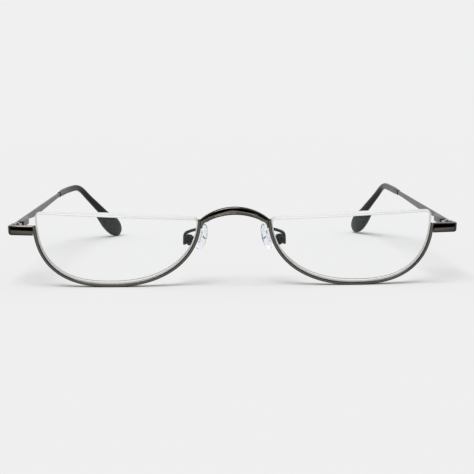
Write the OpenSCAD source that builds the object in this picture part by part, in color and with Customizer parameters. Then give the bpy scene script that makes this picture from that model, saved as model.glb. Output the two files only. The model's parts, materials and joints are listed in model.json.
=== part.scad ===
// Reading glasses standing open on a flat surface, millimetres.
// Lower half rims, lenses held above by a thread, sprung hinges, bent ear tips.
// X is across the face, Y runs back along the temples, Z is up.
// The wearer's left is +X and the wearer's right is -X.
// The front is drawn upright as (across, back, up), leaned by the pantoscopic
// angle, and the whole is then tipped until the rims and the ear tips touch Z = 0.

/* [Lenses] */
// Lens width
lens_w = 49.3; // [44:0.1:54]
// Lens height at its tallest
lens_h = 22.3; // [19:0.1:27]
// Distance between the lenses
lens_gap = 22.3; // [20:0.1:25]
// Share of the lens width that lies on the nose side of its lowest point
low_share = 0.538; // [0.5:0.001:0.58]
// Squareness of the outline on the nose side
nose_power = 2.23; // [2:0.01:2.8]
// Squareness of the outline on the temple side
ear_power = 2.69; // [2.2:0.01:3.4]
// Radius of the upper corners
corner_r = 1.5; // [1:0.1:3]
// Radius of the crowned top edge
top_edge_r = 300; // [220:5:600]
// How far the crown's highest point lies outward from the lens middle
top_peak = 14; // [8:0.5:18]
// Radius of the front surface
front_r = 88; // [80:1:120]
// Reading power in dioptres
power = 2.5; // [1:0.25:3]
// Refractive index
index = 1.498; // [1.49:0.001:1.6]
// Thickness at the optical centre
lens_t = 4; // [3.6:0.1:4.6]
// Distance between the optical centres
pupil_gap = 62; // [58:1:66]
// Height of the optical centres below the top edge
centre_drop = 4.5; // [3:0.5:9]
// Width of the edge groove
groove_w = 0.6; // [0.5:0.05:0.7]
// Depth of the edge groove
groove_d = 0.5; // [0.4:0.05:0.6]

/* [Rims] */
// Rim thickness seen from the front
rim_t = 1; // [0.8:0.05:1.5]
// Rim depth from front to back
rim_d = 2.3; // [2:0.1:2.8]
// How far the rim stands in front of the lens
rim_proud = 0.2; // [0.1:0.05:0.3]
// Wall of the rim's channel
rim_wall = 0.45; // [0.3:0.05:0.5]
// Clearance between the lens edge and the rim
seat_gap = 0.05; // [0.03:0.01:0.1]
// Distance of each rim's outer end above the bar
rim_end_over = 0.5; // [0:0.1:1]
// Height on the lens at which the thread leaves the rim's channel
thread_low = 12.6; // [11:0.1:14]
// Diameter of the thread
thread_d = 0.5; // [0.35:0.05:0.5]

/* [Bridge] */
// Height of the bridge's top above the rims' lowest point
bridge_top = 24.85; // [23.5:0.05:27]
// Radius of the bridge's top line
bridge_r = 16; // [14.5:0.1:20]
// Height of the bridge at its middle
bridge_h = 2.5; // [1.8:0.1:3]
// Depth of the bridge from front to back
bridge_d = 1.6; // [1.4:0.1:2]
// Radius of the bridge's underside
bridge_under_r = 18; // [15:0.5:22]
// Length of the bridge's foot along the rim
bridge_foot = 3.2; // [2.4:0.1:4]
// Half length of the slot in the bridge's face
slot_half = 6.2; // [4:0.1:7]

/* [End pieces] */
// Overall width of the front over the end pieces
front_w = 139; // [135:1:144]
// Height of the end pieces
bar_h = 3; // [2.6:0.1:3.4]
// Height of the temples above the rims' lowest point
bar_z = 18; // [15:0.1:19]
// Depth of the end piece beside the rim
bar_d = 1.6; // [1.3:0.1:2]
// Thickness of the tab that carries the hinge
tab_t = 0.8; // [0.7:0.05:1]
// Height of the tab at the hinge
tab_h = 2; // [1.9:0.1:2.6]
// Outer corner radius seen from above
bend_r = 2.4; // [1.8:0.1:2.8]
// Radius of the lower outer corner seen from the front
lower_r = 1.4; // [0.6:0.1:1.5]
// Distance from the bar's front to the end of the tab
tab_reach = 7.2; // [6.8:0.1:8]
// Forward lean of the front when worn
pantoscopic = 9.2; // [6:0.1:11]

/* [Nose pads] */
// Length of the pads
pad_len = 8.4; // [8:0.2:11]
// Width of the pads
pad_w = 5; // [4.4:0.2:5.6]
// Thickness of the pads
pad_t = 1.9; // [1.6:0.1:2.4]
// Distance from the pad screw to the back of the pad
pad_stem = 3.5; // [2.6:0.1:3.8]
// Height of the pad's middle above its screw
pad_rise = 1.4; // [0.4:0.1:2]
// Half distance between the pad screws
pad_x = 14.2; // [12.8:0.1:15]
// Height of the pad screws up the front
pad_z = 13.3; // [12:0.1:14]
// Depth of the pad screws behind the front's curve beside the nose
pad_y = 4.2; // [3.9:0.1:5.4]
// Lean of the pads toward the nose at the top
pad_lean = 20; // [10:1:26]
// Turn of the pads, rear edges outward
pad_splay = 30; // [20:1:36]
// Diameter of the pad arm's wire
arm_d = 0.95; // [0.8:0.05:1.1]
// Length of the pad box
box_len = 3; // [2.8:0.1:3.4]
// Wall of the pad box
box_wall = 0.4; // [0.3:0.05:0.5]
// Thickness of the lug inside the pad box
lug_t = 1.2; // [1:0.1:1.4]
// Diameter of the pad screw
pad_screw_d = 0.8; // [0.6:0.05:0.9]

/* [Hinges] */
// Thickness of the web that joins the two knuckles
web_t = 0.2; // [0.15:0.05:0.3]
// Distance of the screw's axis ahead of the tab's end
hinge_ahead = 0.8; // [0.6:0.05:0.9]
// Outer radius of the knuckles and the eye
knuckle_r = 0.85; // [0.8:0.01:0.88]
// Height of the eye
eye_h = 0.8; // [0.7:0.05:0.9]
// Height of each knuckle
knuckle_h = 0.5; // [0.45:0.05:0.6]
// Diameter of the hinge screw
screw_d = 0.9; // [0.8:0.05:1]
// Clearance of turning and sliding fits
fit = 0.05; // [0.03:0.01:0.06]
// Gap between the tab and the temple when open
butt_gap = 0.3; // [0.2:0.05:0.4]
// Distance from the screw's axis back to the mouth of the spring housing
mouth_gap = 4.2; // [3.5:0.1:5]
// Width of the slide block
block_w = 1; // [0.9:0.05:1.1]
// Height of the slide block
block_h = 1.1; // [1:0.05:1.2]
// Length of the slide block inside the housing
block_in = 1.4; // [1.2:0.1:1.8]
// Wall of the spring housing on its inner side
housing_wall = 0.35; // [0.3:0.05:0.45]
// Height of the spring housing
housing_h = 1.8; // [1.7:0.05:2.1]
// Length of the straight part of the housing
housing_len = 6.4; // [6.2:0.1:8]
// Length of the housing's tapered tail
housing_tail = 7; // [5:0.5:9]
// Diameter of the spring rod
rod_d = 0.4; // [0.3:0.05:0.4]
// Mean diameter of the spring
coil_d = 0.76; // [0.72:0.02:0.8]
// Diameter of the spring's wire
wire_d = 0.16; // [0.12:0.01:0.18]
// Turns of the spring
turns = 4; // [3:0.5:4.5]

/* [Temples] */
// Thickness of the temple bars
temple_t = 0.9; // [0.8:0.05:1]
// Height of the temple bars beside the spring housing
temple_neck_h = 1.5; // [1.4:0.1:1.7]
// Height of the temple bars at their fullest
temple_h = 2.2; // [1.8:0.1:2.6]
// Distance from the hinge axis to where the bar is fullest
full_at = 28; // [26:1:34]
// Height of the temple bars at the ear tips
temple_end_h = 1.6; // [1.4:0.1:1.7]
// Distance from the hinge axis to the mouth of the ear tip
mouth_y = 71.6; // [66:0.1:76]
// Length of the bar inside the ear tip
socket_len = 12; // [6:0.5:14]
// Outward run of the wearer's left temple at the ear tip
splay_left = 0.7; // [-1:0.1:2]
// Outward run of the wearer's right temple at the ear tip
splay_right = -0.4; // [-1:0.1:2]

/* [Ear tips] */
// Length of the ear tips along their line
tip_len = 62; // [58:0.5:72]
// First gentle fall of the line
fall = 0.8; // [0.4:0.1:4]
// Further fall after the bend
drop = 42; // [32:0.5:44]
// Distance from the mouth to the middle of the bend
bend_at = 26.2; // [24:0.2:28]
// Length of the bend
bend_len = 12; // [6:0.5:13]
// Inward turn of the wearer's left tip before its bend
early_left = 3; // [-2:1:8]
// Inward turn of the wearer's right tip before its bend
early_right = 15; // [0:1:16]
// Inward turn of the wearer's left tip after its bend
turn_left = 25; // [10:1:28]
// Inward turn of the wearer's right tip after its bend
turn_right = 39; // [18:1:40]
// Height at the mouth
tip_mouth_h = 2.1; // [2:0.1:2.6]
// Width at the mouth
tip_mouth_w = 1.5; // [1.4:0.1:1.8]
// Height ahead of the bend
tip_neck_h = 2.5; // [2.3:0.1:2.8]
// Width ahead of the bend
tip_neck_w = 1.9; // [1.6:0.1:2.2]
// Height of the paddle
paddle_h = 6.2; // [5.5:0.1:8]
// Width of the paddle
paddle_w = 3; // [2.4:0.1:3.4]

/* [Hidden] */

metal = [0.30, 0.29, 0.28];
satin = [0.46, 0.47, 0.46];
steel = [0.70, 0.70, 0.69];
glassy = [0.86, 0.91, 0.89, 0.35];
clear = [0.92, 0.94, 0.93, 0.5];
black = [0.09, 0.09, 0.09];

fine = 0.02;
lens_fn = 256;

function unit(v) = v / norm(v);
function smooth(s, a, b) = let (t = min(1, max(0, (s - a) / (b - a)))) t * t * (3 - 2 * t);
function least(list) = min([for (v = list) v]);

// Lens outline. The lowest point is at [low_x, 0], the nose side has the smaller x.
nose_x = lens_gap / 2;
low_x = nose_x + lens_w * low_share;
ear_x = nose_x + lens_w;
mid_x = (nose_x + ear_x) / 2;
side_h = lens_h - corner_r;
peak_x = mid_x + top_peak;
function top_v(u) = lens_h - pow(u - peak_x, 2) / (2 * top_edge_r);
function half_w(s) = s < 0 ? low_x - nose_x : ear_x - low_x;
function side_power(s) = s < 0 ? nose_power : ear_power;
function corner_c(s) = let (u = s < 0 ? nose_x + corner_r : ear_x - corner_r)
    [u, top_v(u) - corner_r];
// Angle along one side at which the outline reaches height v
function side_angle(s, v) = acos(pow(1 - v / side_h, side_power(s) / 2));
function side_point(s, a) = [
    low_x + s * half_w(s) * pow(sin(a), 2 / side_power(s)),
    side_h * (1 - pow(cos(a), 2 / side_power(s)))];
function side_points(s, v0, v1, n) = let (a0 = side_angle(s, v0), a1 = side_angle(s, v1))
    [for (i = [0:n]) side_point(s, a0 + (a1 - a0) * i / n)];
function corner_points(s, n) = [for (i = [0:n]) let (a = 8 + 78 * i / n)
    corner_c(s) + corner_r * [s * cos(a), sin(a)]];
function top_points(n) = let (u0 = corner_c(-1)[0] + 0.4, u1 = corner_c(1)[0] - 0.4)
    [for (i = [0:n]) let (u = u0 + (u1 - u0) * i / n) [u, top_v(u)]];
function back_to_front(list) = [for (i = [len(list) - 1:-1:0]) list[i]];
function without_first(list) = [for (i = [1:len(list) - 1]) list[i]];
function corner_low(s) = corner_c(s)[1] - 0.3;

lens_outline = concat(
    without_first(side_points(1, 0, corner_low(1), 18)),
    corner_points(1, 6),
    back_to_front(top_points(12)),
    back_to_front(corner_points(-1, 6)),
    back_to_front(side_points(-1, 0, corner_low(-1), 18)));

// Heights up the front start at the rims' lowest point
lens_base = rim_t + seat_gap;
vertex_z = lens_base + lens_h / 2;
function sag(u, v) = front_r - sqrt(front_r * front_r - pow(u - mid_x, 2) - pow(v + lens_base - vertex_z, 2));
groove_y = rim_d / 2;

// Moves each point of an outline outward, and back along the lens curve
function outward(p, q) = let (d = unit(q - p)) [d[1], -d[0]];
function ring_on(path, i, section) = let (
        p = path[max(0, i - 1)],
        q = path[min(len(path) - 1, i + 1)],
        m = outward(p, q),
        c = path[i])
    [for (s = section) let (q = c + min(s[0], 0) * m)
        [c[0] + s[0] * m[0], sag(q[0], q[1]) + groove_y + s[1], lens_base + c[1] + s[0] * m[1]]];
function rings_on(path, section) = [for (i = [0:len(path) - 1]) ring_on(path, i, section)];

// A tube through rings of equal length, closed by its end faces
module skin(rings, cap = []) {
    n = len(rings);
    m = len(rings[0]);
    points = [for (r = rings) each r];
    sides = [for (i = [0:n - 2]) for (j = [0:m - 1]) let (
            a = i * m + j,
            b = i * m + (j + 1) % m,
            c = a + m,
            d = b + m)
        each [[a, b, d], [a, d, c]]];
    end = len(cap) == 0 ? [[for (j = [0:m - 1]) j]] : cap;
    first = [for (f = end) [for (j = [len(f) - 1:-1:0]) f[j]]];
    last = [for (f = end) [for (j = f) (n - 1) * m + j]];
    polyhedron(points, concat(sides, first, last), convexity = 8);
}

// Rims, from the temple end round the bottom to the nose end
ear_end_v = bar_z / cos(pantoscopic) - lens_base + bar_h / 2 - 0.6 + rim_end_over;
nose_end_v = bridge_top - pow(nose_x, 2) / (2 * bridge_r) - lens_base - 0.7;
rim_path = concat(
    back_to_front(without_first(side_points(-1, 0, nose_end_v, 20))),
    [side_point(1, 0)],
    without_first(side_points(1, 0, ear_end_v, 20)));
channel = rim_d / 2 - rim_wall;
rim_section = [
    [seat_gap, -rim_d / 2],
    [lens_base - 0.3, -rim_d / 2],
    [lens_base - 0.08, -rim_d / 2 + 0.12],
    [lens_base, -rim_d / 2 + 0.4],
    [lens_base, rim_d / 2 - 0.4],
    [lens_base - 0.08, rim_d / 2 - 0.12],
    [lens_base - 0.3, rim_d / 2],
    [seat_gap, rim_d / 2],
    [seat_gap, channel],
    [lens_base - rim_wall, channel],
    [lens_base - rim_wall, -channel],
    [seat_gap, -channel]];
rim_rings = rings_on(rim_path, rim_section);

rim_cap = [
    [0, 1, 11], [1, 10, 11], [1, 2, 10], [2, 3, 10], [3, 4, 10],
    [4, 9, 10], [4, 5, 9], [5, 6, 9], [6, 8, 9], [6, 7, 8]];

module rim() skin(rim_rings, rim_cap);

// Liner: fills the channel, its tongue stands in the lens groove
tongue = groove_w / 2 - fine * 2;
liner_in = lens_base - rim_wall - fine;
liner_path = concat(
    back_to_front(without_first(side_points(-1, 0, thread_low - 0.6, 17))),
    [side_point(1, 0)],
    without_first(side_points(1, 0, thread_low - 0.6, 17)));
liner_section = [
    [liner_in, channel - fine],
    [seat_gap, channel - fine],
    [seat_gap, tongue],
    [fine - groove_d, tongue],
    [fine - groove_d, -tongue],
    [seat_gap, -tongue],
    [seat_gap, fine - channel],
    [liner_in, fine - channel]];

module rim_liner() skin(rings_on(liner_path, liner_section));

// Thread over the top of the lens, its ends inside the rim's channel
thread_n = thread_d / 2 - groove_d + fine * 2;
thread_path = concat(
    side_points(1, thread_low, corner_low(1), 7),
    corner_points(1, 5),
    back_to_front(top_points(8)),
    back_to_front(corner_points(-1, 5)),
    back_to_front(side_points(-1, thread_low, corner_low(-1), 7)));
thread_section = [for (k = [0:5]) [thread_n + thread_d / 2 * cos(60 * k), thread_d / 2 * sin(60 * k)]];

module lens_thread() skin(rings_on(back_to_front(thread_path), thread_section));

// Lens: two spherical surfaces, the rear one tilted about the optical centre
module from_front(y0, y1) {
    translate([0, y1, 0]) rotate([90, 0, 0]) linear_extrude(y1 - y0) children();
}
rear_r = 1 / (1 / front_r - power / (index - 1) / 1000);
curve_c = [mid_x, front_r + rim_proud, vertex_z];
optic = [pupil_gap / 2, lens_base + lens_h - centre_drop];
optic_front = [optic[0], rim_proud + sag(optic[0], optic[1] - lens_base), optic[1]];
optic_dir = unit(optic_front - curve_c);
rear_c = curve_c - optic_dir * (rear_r + lens_t - front_r);
groove_back = groove_y - rim_proud;
centre_u = (low_x + mid_x) / 2;

module lens() {
    difference() {
        intersection() {
            from_front(-2, 14) translate([0, lens_base]) polygon(lens_outline);
            translate(curve_c) sphere(front_r, $fn = lens_fn);
        }
        translate(rear_c) sphere(rear_r, $fn = lens_fn);
        difference() {
            translate(curve_c + [0, groove_back - groove_w / 2, 0]) sphere(front_r, $fn = lens_fn);
            translate(curve_c + [0, groove_back + groove_w / 2, 0]) sphere(front_r, $fn = lens_fn);
            from_front(-3, 15) translate([0, lens_base]) polygon(lens_inset);
        }
    }
}
lens_inset = [for (i = [0:len(lens_outline) - 1]) let (
        n = len(lens_outline),
        m = outward(lens_outline[(i + n - 1) % n], lens_outline[(i + 1) % n]))
    lens_outline[i] - groove_d * m];

// Bridge: arched plate whose feet run down the nose side of the rims
bridge_y = sag(nose_x, side_h / 2) - 0.2;
foot_x = nose_x - lens_base - 0.03;
shoulder_z = bridge_top - bridge_r + sqrt(bridge_r * bridge_r - foot_x * foot_x);
foot_z = shoulder_z - bridge_foot;
function arch(r, top, x) = top - r + sqrt(r * r - x * x);
function foot_side(z) = let (v = z - lens_base) side_point(-1, side_angle(-1, v))[0] - lens_base - 0.03;
function bridge_half(e) = let (f = min(e, 0.25)) concat(
    [for (i = [0:9]) let (x = (foot_x + 0.65 - e) * i / 9) [x, arch(bridge_r, bridge_top, x) - e]],
    [[foot_x + 0.75 - e, shoulder_z - 0.75], [foot_x + 0.55 - e, shoulder_z - 1.0]],
    [for (i = [0:3]) let (z = shoulder_z - 1.1 - (bridge_foot - 1.1) * i / 3) [foot_side(z) - f * 0.5, z]],
    [for (i = [0:4]) let (a = 90 * i / 4) [
        foot_side(foot_z) - 0.45 - 1.55 * (1 - cos(a)) + f * 0.5,
        foot_z + 2.05 * sin(a) + f]],
    [for (i = [1:8]) let (x = (foot_x - 2.15) * (8 - i) / 8) [x, arch(bridge_under_r, bridge_top - bridge_h, x) + e]]);
function mirrored(list) = [for (i = [len(list) - 2:-1:1]) [-list[i][0], list[i][1]]];
function bridge_outline(e) = let (h = bridge_half(e)) concat(h, mirrored(h));
function bridge_ring(y, e) = [for (p = bridge_outline(e)) [p[0], y, p[1]]];

// End faces of the bridge: strips between its top and underside, then the foot
half_cap = concat(
    [for (k = [0:6]) each [[k, k + 1, 27 - k], [k, 27 - k, 28 - k]]],
    [[7, 8, 21], [8, 20, 21], [8, 9, 20], [9, 10, 11], [9, 11, 20], [11, 12, 20], [12, 19, 20],
        [12, 13, 19], [13, 18, 19], [13, 14, 18], [14, 17, 18], [14, 15, 17], [15, 16, 17]]);
function twin(i) = i == 0 || i == 28 ? i : 56 - i;
bridge_cap = concat(half_cap, [for (t = half_cap) [twin(t[0]), twin(t[2]), twin(t[1])]]);

module bridge() {
    difference() {
        skin([
            bridge_ring(bridge_y, 0.6),
            bridge_ring(bridge_y + 0.12, 0.3),
            bridge_ring(bridge_y + 0.28, 0.1),
            bridge_ring(bridge_y + 0.5, 0),
            bridge_ring(bridge_y + bridge_d - 0.5, 0),
            bridge_ring(bridge_y + bridge_d - 0.15, 0.2),
            bridge_ring(bridge_y + bridge_d, 0.45)], bridge_cap);
        from_front(bridge_y - 1, bridge_y + 0.25) polygon(concat(
            [for (i = [-8:8]) let (x = slot_half * i / 8) [x, arch(bridge_r - 0.3, bridge_top - bridge_h + 1.25, x)]],
            [for (i = [8:-1:-8]) let (x = slot_half * i / 8) [x, arch(bridge_r - 0.8, bridge_top - bridge_h + 0.75, x)]]));
    }
}

// End piece, in the temples' own level frame. Its front runs back a little as it goes out.
out_x = front_w / 2;
join_x = ear_x + lens_base + 0.05;
join_z = bar_z;
join_y = (sag(ear_x, bar_z - lens_base) + 0.1) * cos(pantoscopic) - bar_z * sin(pantoscopic);
sweep_back = 0.16;
function front_line(x) = join_y + (x - join_x) * sweep_back;
bend_c = [out_x - bend_r, front_line(out_x - bend_r) + bend_r];
tab_end = front_line(out_x) + tab_reach;
inner_r = bend_r - tab_t;
bar_lo = bar_z - bar_h / 2;
plan = concat(
    [[join_x, join_y]],
    [for (i = [0:10]) let (a = -80 + 80 * i / 10) bend_c + bend_r * [cos(a), sin(a)]],
    [[out_x, tab_end], [out_x - tab_t, tab_end]],
    [for (i = [0:6]) let (a = -80 * i / 6) bend_c + [0, bar_d - tab_t] + inner_r * [cos(a), sin(a)]],
    [[join_x, join_y + bar_d]]);

module end_piece() {
    intersection() {
        translate([0, 0, bar_lo]) linear_extrude(bar_h) polygon(plan);
        from_front(-10, 30) end_face();
        translate([join_x, join_y, 0]) rotate([0, 0, atan(sweep_back)]) translate([-4, 0, 0])
            rotate([90, 0, 90]) linear_extrude(30) bar_side();
    }
}

module end_face() {
    difference() {
        translate([join_x - 1, bar_lo - 1]) square([20, bar_h + 2]);
        translate([out_x - lower_r, bar_lo]) difference() {
            translate([0, -1]) square([lower_r + 1, lower_r + 1]);
            translate([0, lower_r]) circle(lower_r, $fn = 48);
        }
        translate([out_x - 0.5, bar_lo + bar_h - 0.5]) difference() {
            square(2);
            circle(0.5, $fn = 32);
        }
    }
}

// Side view of the bar: its front is crowned from top to bottom
crown_r = 0.8 * bar_h;
crown_end = crown_r - sqrt(crown_r * crown_r - bar_h * bar_h / 4) + fine;
module bar_side() {
    narrow = (bar_h - tab_h) / 2;
    difference() {
        polygon([
            [0, bar_lo], [bar_d + 0.6, bar_lo], [bar_d + 3, bar_lo + narrow], [20, bar_lo + narrow],
            [20, bar_lo + bar_h - narrow], [bar_d + 3, bar_lo + bar_h - narrow],
            [bar_d + 0.6, bar_lo + bar_h], [0, bar_lo + bar_h]]);
        difference() {
            translate([-1, bar_lo - 1]) square([1 + crown_end, bar_h + 2]);
            translate([crown_r, bar_z]) circle(crown_r, $fn = 96);
        }
    }
}

// Hinge: knuckle pair on the tab, eye between them, screw through all three
hinge_in = tab_t + web_t + fit + knuckle_r;
hinge_x = out_x - hinge_in;
hinge_y = tab_end - hinge_ahead;
bore_r = screw_d / 2 + fit;
eye_gap = eye_h / 2 + fit;

module at_hinge(z) translate([hinge_x, hinge_y, bar_z + z]) children();

module knuckle_plate() {
    difference() {
        union() {
            cylinder(knuckle_h, r = knuckle_r, $fn = 48);
            translate([0, -knuckle_r, 0]) cube([hinge_in - tab_t, knuckle_r + 0.3, knuckle_h]);
        }
        translate([0, 0, -1]) cylinder(knuckle_h + 2, r = bore_r, $fn = 32);
    }
}

module front_knuckle() {
    at_hinge(eye_gap) knuckle_plate();
    at_hinge(-eye_gap - knuckle_h) knuckle_plate();
    at_hinge(-eye_gap - knuckle_h) translate([knuckle_r + fit, -knuckle_r, 0])
        cube([web_t, knuckle_r + 0.3, 2 * (eye_gap + knuckle_h)]);
}

module hinge_screw() {
    head_h = 0.3;
    at_hinge(-eye_gap - knuckle_h) difference() {
        union() {
            cylinder(2 * (eye_gap + knuckle_h) + fit, d = screw_d, $fn = 32);
            translate([0, 0, 2 * (eye_gap + knuckle_h) + fit]) cylinder(head_h, r1 = knuckle_r - 0.08, r2 = knuckle_r - 0.2, $fn = 32);
        }
        translate([-knuckle_r, -0.12, 2 * (eye_gap + knuckle_h) + fit + head_h - 0.15]) cube([2 * knuckle_r, 0.24, 1]);
    }
}

// Carriage: the eye, its arm and the block that slides in the housing
arm_from = knuckle_r + 2 * fit + 0.1;

module hinge_carriage() {
    at_hinge(-eye_h / 2) difference() {
        union() {
            cylinder(eye_h, r = knuckle_r, $fn = 48);
            translate([-block_w / 2, 0, 0]) cube([block_w, arm_from + 0.4, eye_h]);
        }
        translate([0, 0, -1]) cylinder(eye_h + 2, r = bore_r, $fn = 32);
    }
    at_hinge(0) translate([-block_w / 2, arm_from, -block_h / 2])
        cube([block_w, mouth_gap + block_in - arm_from, block_h]);
}

// Rod behind the block, with a head that the spring presses on
rod_from = mouth_gap + block_in;
shoulder = 0.4;
coil_from = rod_from + 0.25 + shoulder;
housing_end = mouth_gap + housing_len;
chamber_end = housing_end + 0.4;
head_t = 0.35;
head_from = chamber_end - 0.3 - head_t;
head_r = coil_d / 2 + wire_d / 2;

module along_y(y) translate([0, y, 0]) rotate([-90, 0, 0]) children();

module spring_rod() {
    at_hinge(0) {
        along_y(rod_from) cylinder(head_from - rod_from + 0.1, d = rod_d, $fn = 32);
        along_y(head_from) cylinder(head_t, r = head_r, $fn = 32);
    }
}

// Spring: one unbroken tube along a helix on the rod
steps = 12;
coil_end = head_from - wire_d / 2 - 0.03;
coil_start = coil_from + wire_d / 2 + 0.03;
pitch = (coil_end - coil_start) / turns;
function coil_point(t) = [coil_d / 2 * cos(360 * t), coil_start + pitch * t, coil_d / 2 * sin(360 * t)];
function coil_ring(t) = let (
        c = coil_point(t),
        o = [cos(360 * t), 0, sin(360 * t)],
        d = unit([-PI * coil_d * sin(360 * t), pitch, PI * coil_d * cos(360 * t)]),
        b = cross(d, o))
    [for (k = [0:5]) c + wire_d / 2 * (cos(60 * k) * o + sin(60 * k) * b)];
coil_gap = least([for (i = [0:steps]) for (j = [steps:steps * 1.5])
    norm(coil_point(i / steps) - coil_point((i + j) / steps)) - wire_d]);
echo(spring_gap_to_itself = coil_gap);

module hinge_spring() at_hinge(0) skin([for (i = [0:steps * turns]) coil_ring(i / steps)]);

// Temple bar, straight from the tab to inside the ear tip, running out by its splay
bar_x = out_x - temple_t - 0.05;
temple_y = tab_end + butt_gap;
mouth_at = hinge_y + mouth_y;
bar_end_y = mouth_at + socket_len;
function run_out(splay, y) = splay * (y - temple_y) / (mouth_at - temple_y);

module temple_plan(splay, from, to, grow) {
    x0 = bar_x + run_out(splay, from);
    x1 = bar_x + run_out(splay, to);
    polygon([
        [x0 - grow, from], [x0 + temple_t + grow, from],
        [x1 + temple_t + grow, to], [x1 - grow, to]]);
}

// Side view: the top line is straight, the lower line swells behind the housing
function lower_line(y) = y < hinge_y + full_at
    ? temple_neck_h / 2 + (temple_h - temple_neck_h) * smooth(y, hinge_y + full_at - 11, hinge_y + full_at)
    : temple_h - temple_neck_h / 2 - (temple_h - temple_end_h) * smooth(y, hinge_y + full_at, mouth_at);
temple_stops = concat([temple_y], [for (i = [0:10]) hinge_y + full_at - 11 + 1.1 * i],
    [for (i = [1:10]) hinge_y + full_at + (mouth_at - hinge_y - full_at) * i / 10], [bar_end_y]);

module temple(splay) {
    intersection() {
        translate([0, 0, bar_z - 5]) linear_extrude(10) temple_plan(splay, temple_y, bar_end_y, 0);
        translate([out_x / 2, 0, 0]) rotate([90, 0, 90]) linear_extrude(out_x) polygon(concat(
            [for (y = temple_stops) [y, bar_z - lower_line(y)]],
            [[bar_end_y, bar_z + temple_neck_h / 2], [temple_y, bar_z + temple_neck_h / 2]]));
    }
}
end_mid = bar_z + (temple_neck_h - temple_end_h) / 2;

// Spring housing on the inner face of the bar, with a rectangular mouth and a drawn-out tail
slot_w = block_w + 2 * fit;
slot_h = block_h + 2 * fit;
chamber_r = head_r + 0.1;
housing_w = bar_x - hinge_x + slot_w / 2 + housing_wall;
seat_x = bar_x - hinge_x;
tail_y = housing_end + housing_tail;
function tail_x(y) = seat_x - housing_w * (1 - smooth(y, housing_end - 0.6, tail_y));

module housing_plan(splay) {
    polygon(concat(
        [[seat_x - housing_w, mouth_gap]],
        [for (i = [0:14]) let (y = housing_end - 0.6 + (housing_tail + 0.6) * i / 14)
            [min(tail_x(y), seat_x - 0.02) + run_out(splay, hinge_y + y), y]],
        [[seat_x + run_out(splay, hinge_y + tail_y), tail_y], [seat_x + run_out(splay, hinge_y + mouth_gap), mouth_gap]]));
}

module spring_housing(splay) {
    at_hinge(0) difference() {
        intersection() {
            translate([0, 0, -housing_h / 2]) linear_extrude(housing_h) housing_plan(splay);
            translate([seat_x - housing_w - 1, mouth_gap, 0]) rotate([90, 0, 90]) linear_extrude(20) housing_side();
        }
        translate([-slot_w / 2, 0, -slot_h / 2]) cube([slot_w, coil_from - shoulder, slot_h]);
        along_y(0) cylinder(chamber_end, d = rod_d + 0.1, $fn = 32);
        along_y(coil_from) cylinder(chamber_end - coil_from, r = chamber_r, $fn = 40);
    }
}

// Side view of the housing: its tail narrows in height too
module housing_side() {
    h = housing_h / 2;
    polygon([
        [0, -h], [housing_len, -h], [housing_len + housing_tail, -h * 0.75],
        [housing_len + housing_tail, h * 0.75], [housing_len, h], [0, h]]);
}

// Ear tip: a rounded section carried along a line that falls, then bends down and inward
step = 0.5;
tip_steps = round(tip_len / step);
function dip(s) = -fall * smooth(s, 2, bend_at - bend_len / 2)
    - drop * smooth(s, bend_at - bend_len / 2, bend_at + bend_len / 2);
function swing(s, turn) = turn[0] * smooth(s, 0, bend_at)
    + (turn[1] - turn[0]) * smooth(s, bend_at - bend_len / 2, bend_at + bend_len);
function heading(s, turn, lead) = let (a = dip(s), b = swing(s, turn) - lead)
    [-sin(b) * cos(a), cos(b) * cos(a), sin(a)];
function lead_of(splay) = atan(splay / (mouth_at - temple_y));
function tip_line(splay, turn) = [for (
    i = 0, p = [bar_x + temple_t / 2 + splay, mouth_at, end_mid];
    i <= tip_steps;
    i = i + 1, p = p + step * heading((i - 0.5) * step, turn, lead_of(splay))) p];
end_r = 5.5;
spoon_h = 1.35 * tip_neck_h;
function tip_height(s) = s < 6 ? lookup(s, [[0, tip_mouth_h], [0.6, tip_mouth_h], [6, tip_neck_h]])
    : tip_neck_h + (spoon_h - tip_neck_h) * smooth(s, tip_len * 0.5, tip_len * 0.76)
        + (paddle_h - spoon_h) * smooth(s, tip_len * 0.74, tip_len * 0.89);
function tip_width(s) = lookup(s, [
    [0, tip_mouth_w], [0.6, tip_mouth_w], [6, tip_neck_w], [bend_at, tip_neck_w],
    [tip_len * 0.74, (tip_neck_w + paddle_w) / 2], [tip_len - end_r, paddle_w]]);
function end_scale(s) = s <= tip_len - end_r ? 1
    : sqrt(max(0.02, 1 - pow((s - tip_len + end_r) / end_r, 2)));
tip_stations = concat(
    [0, 0.6, 2.4, 4.2],
    [for (s = [6:3:bend_at - bend_len / 2 - 0.5]) s],
    [for (i = [0:9]) bend_at - bend_len / 2 + bend_len * i / 9],
    [for (k = [0.52, 0.58, 0.64, 0.7, 0.75, 0.79, 0.83, 0.87]) tip_len * k],
    [tip_len - end_r],
    [for (a = [20, 40, 56, 70, 81]) tip_len - end_r + end_r * sin(a)]);
function round_power(x, e) = sign(x) * pow(abs(x), e);
function tip_ring(line, s, turn, lead) = let (
        at = s / step,
        i = min(floor(at), len(line) - 2),
        c = line[i] + (line[i + 1] - line[i]) * (at - i),
        d = heading(s, turn, lead),
        side = unit(cross(d, [0, 0, 1])),
        up = cross(side, d),
        h = tip_height(s) / 2 * end_scale(s),
        w = tip_width(s) / 2 * end_scale(s))
    [for (k = [0:15]) let (a = 22.5 * k)
        c + w * round_power(cos(a), 0.75) * side + h * round_power(sin(a), 0.75) * up];
function tip_rings(splay, turn) = let (line = tip_line(splay, turn))
    [for (s = tip_stations) tip_ring(line, s, turn, lead_of(splay))];
left_rings = tip_rings(splay_left, [early_left, turn_left]);
right_rings = tip_rings(splay_right, [early_right, turn_right]);

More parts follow.
